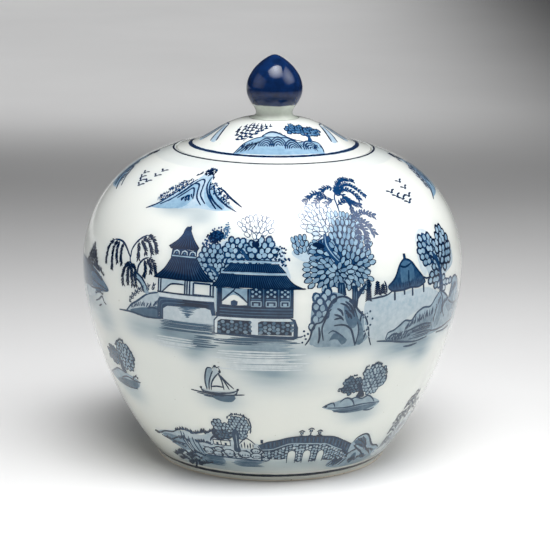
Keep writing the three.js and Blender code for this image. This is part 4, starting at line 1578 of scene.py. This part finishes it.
# Soft washes of thin cobalt: the middle around and up the jar, the spread each way, and the strength.
WATER = (
    (-72, 92, 12, 6, 0.26),
    (-54, 92, 9, 7, 0.36),
    (-40, 88, 8, 9, 0.42),
    (-16, 86, 16, 6, 0.30),
    (0, 80, 15, 9, 0.48),
    (4, 68, 34, 8, 0.10),
    (34, 88, 18, 5, 0.28),
    (62, 96, 14, 11, 0.24),
    (80, 106, 20, 6, 0.20),
    (72, 82, 14, 6, 0.34),
    (92, 79, 10, 8, 0.34),
    (122, 90, 20, 9, 0.30),
    (-128, 98, 18, 9, 0.30),
    (-104, 90, 10, 8, 0.20),
    (-28, 55, 12, 5, 0.22),
    (56, 45, 12, 6, 0.24),
    (-96, 50, 12, 7, 0.22),
    (-40, 9, 36, 6, 0.30),
    (20, 12, 30, 5, 0.22),
    (72, 8, 26, 6, 0.36),
    (118, 16, 20, 10, 0.26),
    (-60, 156, 12, 4, 0.22),
    (-42, 154, 9, 5, 0.20),
    (14, 130, 8, 6, 0.12),
    (-30, 132, 12, 12, 0.14),
)


def bleed_map():
    """How much ink lies around each millimetre of the jar's painting, softly blurred."""
    columns = round(HALF_TURN)
    bleed = np.zeros((columns, BLEED_ROWS))
    for places, weights in wash_marks:
        column = np.floor(places[:, 0] / HALF_TURN * columns).astype(int) % columns
        row = np.clip(places[:, 1].astype(int), 0, BLEED_ROWS - 1)
        np.add.at(bleed, (column, row), weights)
    shifts = range(-BLEED_REACH, BLEED_REACH + 1)
    blur = np.exp(-(np.array(shifts) / BLEED_BLUR) ** 2)
    blur /= blur.sum()
    for axis in (0, 1):
        bleed = sum(np.roll(bleed, shift, axis) * weight for shift, weight in zip(shifts, blur))
    return bleed


def soak(skin):
    """Gives the jar's skin its washes, with a faint bleed of cobalt round all brushwork."""
    bleed = bleed_map()
    columns, rows = bleed.shape
    points = np.empty(len(skin.vertices) * 3)
    skin.vertices.foreach_get("co", points)
    x, y, z = points.reshape(-1, 3).T / MM
    outline = JAR_SURFACE.points
    s = np.interp(z, outline[:, 1], JAR_SURFACE.s)
    is_outside = np.hypot(x, y) > np.interp(z, outline[:, 1], outline[:, 0]) - 1
    u = (np.arctan2(y, x) + math.pi / 2) * JAR_DRAWING_R % HALF_TURN
    wash = BLEED_STRENGTH * bleed[u.astype(int) % columns, np.clip(s, 0, rows - 1).astype(int)]
    for middle, level, width, height, strength in WATER:
        across = (u - middle + HALF_TURN / 2) % HALF_TURN - HALF_TURN / 2
        wash += strength * np.exp(-(across / width) ** 2 - ((s - level) / height) ** 2)
    skin.attributes.new("wash", "FLOAT", "POINT").data.foreach_set("value", wash * is_outside)


soak(painted_skin.data)

# ---- Studio ----------------------------------------------------------------------------
def camera():
    """Stands 1.1 m in front, a little above the knob, and looks down at the jar's middle."""
    look_down, roll_right = 12.86, 0.65
    data = bpy.data.cameras.new("camera")
    data.lens = 136.9
    data.sensor_width = 36
    eye = bpy.data.objects.new("camera", data)
    pitch = Matrix.Rotation(math.radians(90 - look_down), 4, "X")
    roll = Matrix.Rotation(math.radians(roll_right), 4, "Z")
    eye.matrix_world = Matrix.Translation((0.0014, -1.1, 0.3474)) @ pitch @ roll
    bpy.context.scene.collection.objects.link(eye)
    bpy.context.scene.camera = eye


def panel(name, azimuth, elevation, distance, width, height, radiance, spread):
    """A soft panel that faces the jar's middle. Azimuth 0 is behind the camera, 90 to its right."""
    turn, rise = math.radians(azimuth), math.radians(elevation)
    middle = 0.1
    level = distance * math.cos(rise)
    place = (level * math.sin(turn), -level * math.cos(turn), distance * math.sin(rise) + middle)
    overhead(name, place, (0, 0, middle), width, height, radiance, spread)


def overhead(name, place, aim, width, depth, radiance, spread):
    """A soft panel that hangs at a place, faces a point, and lights only what is within its spread."""
    data = bpy.data.lights.new(name, "AREA")
    data.shape = "RECTANGLE"
    data.size = width
    data.size_y = depth
    data.energy = radiance * math.pi * width * depth
    data.spread = math.radians(spread)
    lamp = bpy.data.objects.new(name, data)
    lamp.location = place
    lamp.rotation_euler = (Vector(place) - Vector(aim)).to_track_quat("Z", "Y").to_euler()
    lamp.visible_camera = False
    bpy.context.scene.collection.objects.link(lamp)


def stage():
    """A plain pale floor that reaches past the camera's view, just under the jar."""
    nodes = Nodes("pale_floor")
    shade = nodes.ramp(nodes.noise(300), [(0.3, colour(223, 223, 223)), (0.7, colour(228, 228, 228))])
    floor_material = nodes.finish(shade, 0.6)
    segments, radius, gap = 96, 30, 0.0001
    angles = [2 * math.pi * i / segments for i in range(segments)]
    rim = [(radius * math.cos(angle), radius * math.sin(angle), -gap) for angle in angles]
    floor = new_object("floor", rim, [tuple(range(segments))], [(0, 0, 1)] * segments)
    floor.data.materials.append(floor_material)


def room():
    """Dim even light from all round, and screen colours without a film look."""
    world = bpy.data.worlds.new("room")
    world.use_nodes = True
    sky = world.node_tree.nodes["Background"]
    sky.inputs["Color"].default_value = (0.85, 0.87, 0.9, 1)
    sky.inputs["Strength"].default_value = 0.04
    bpy.context.scene.world = world
    bpy.context.scene.view_settings.view_transform = "Standard"


camera()
stage()
room()
overhead("key_softbox", (0.11, -0.6, 1.45), (0.02, -0.3, 0), 1.3, 1.0, 1.8, 66)
panel("left_panel", -74, 25, 1.6, 1.9, 1.1, 0.2, 78)
panel("right_panel", 80, 40, 1.6, 1.7, 1.1, 0.5, 62)
overhead("far_floor_light", (-1.7, 2.55, 0.9), (-1.7, 2.55, 0), 4, 3, 0.74, 46)
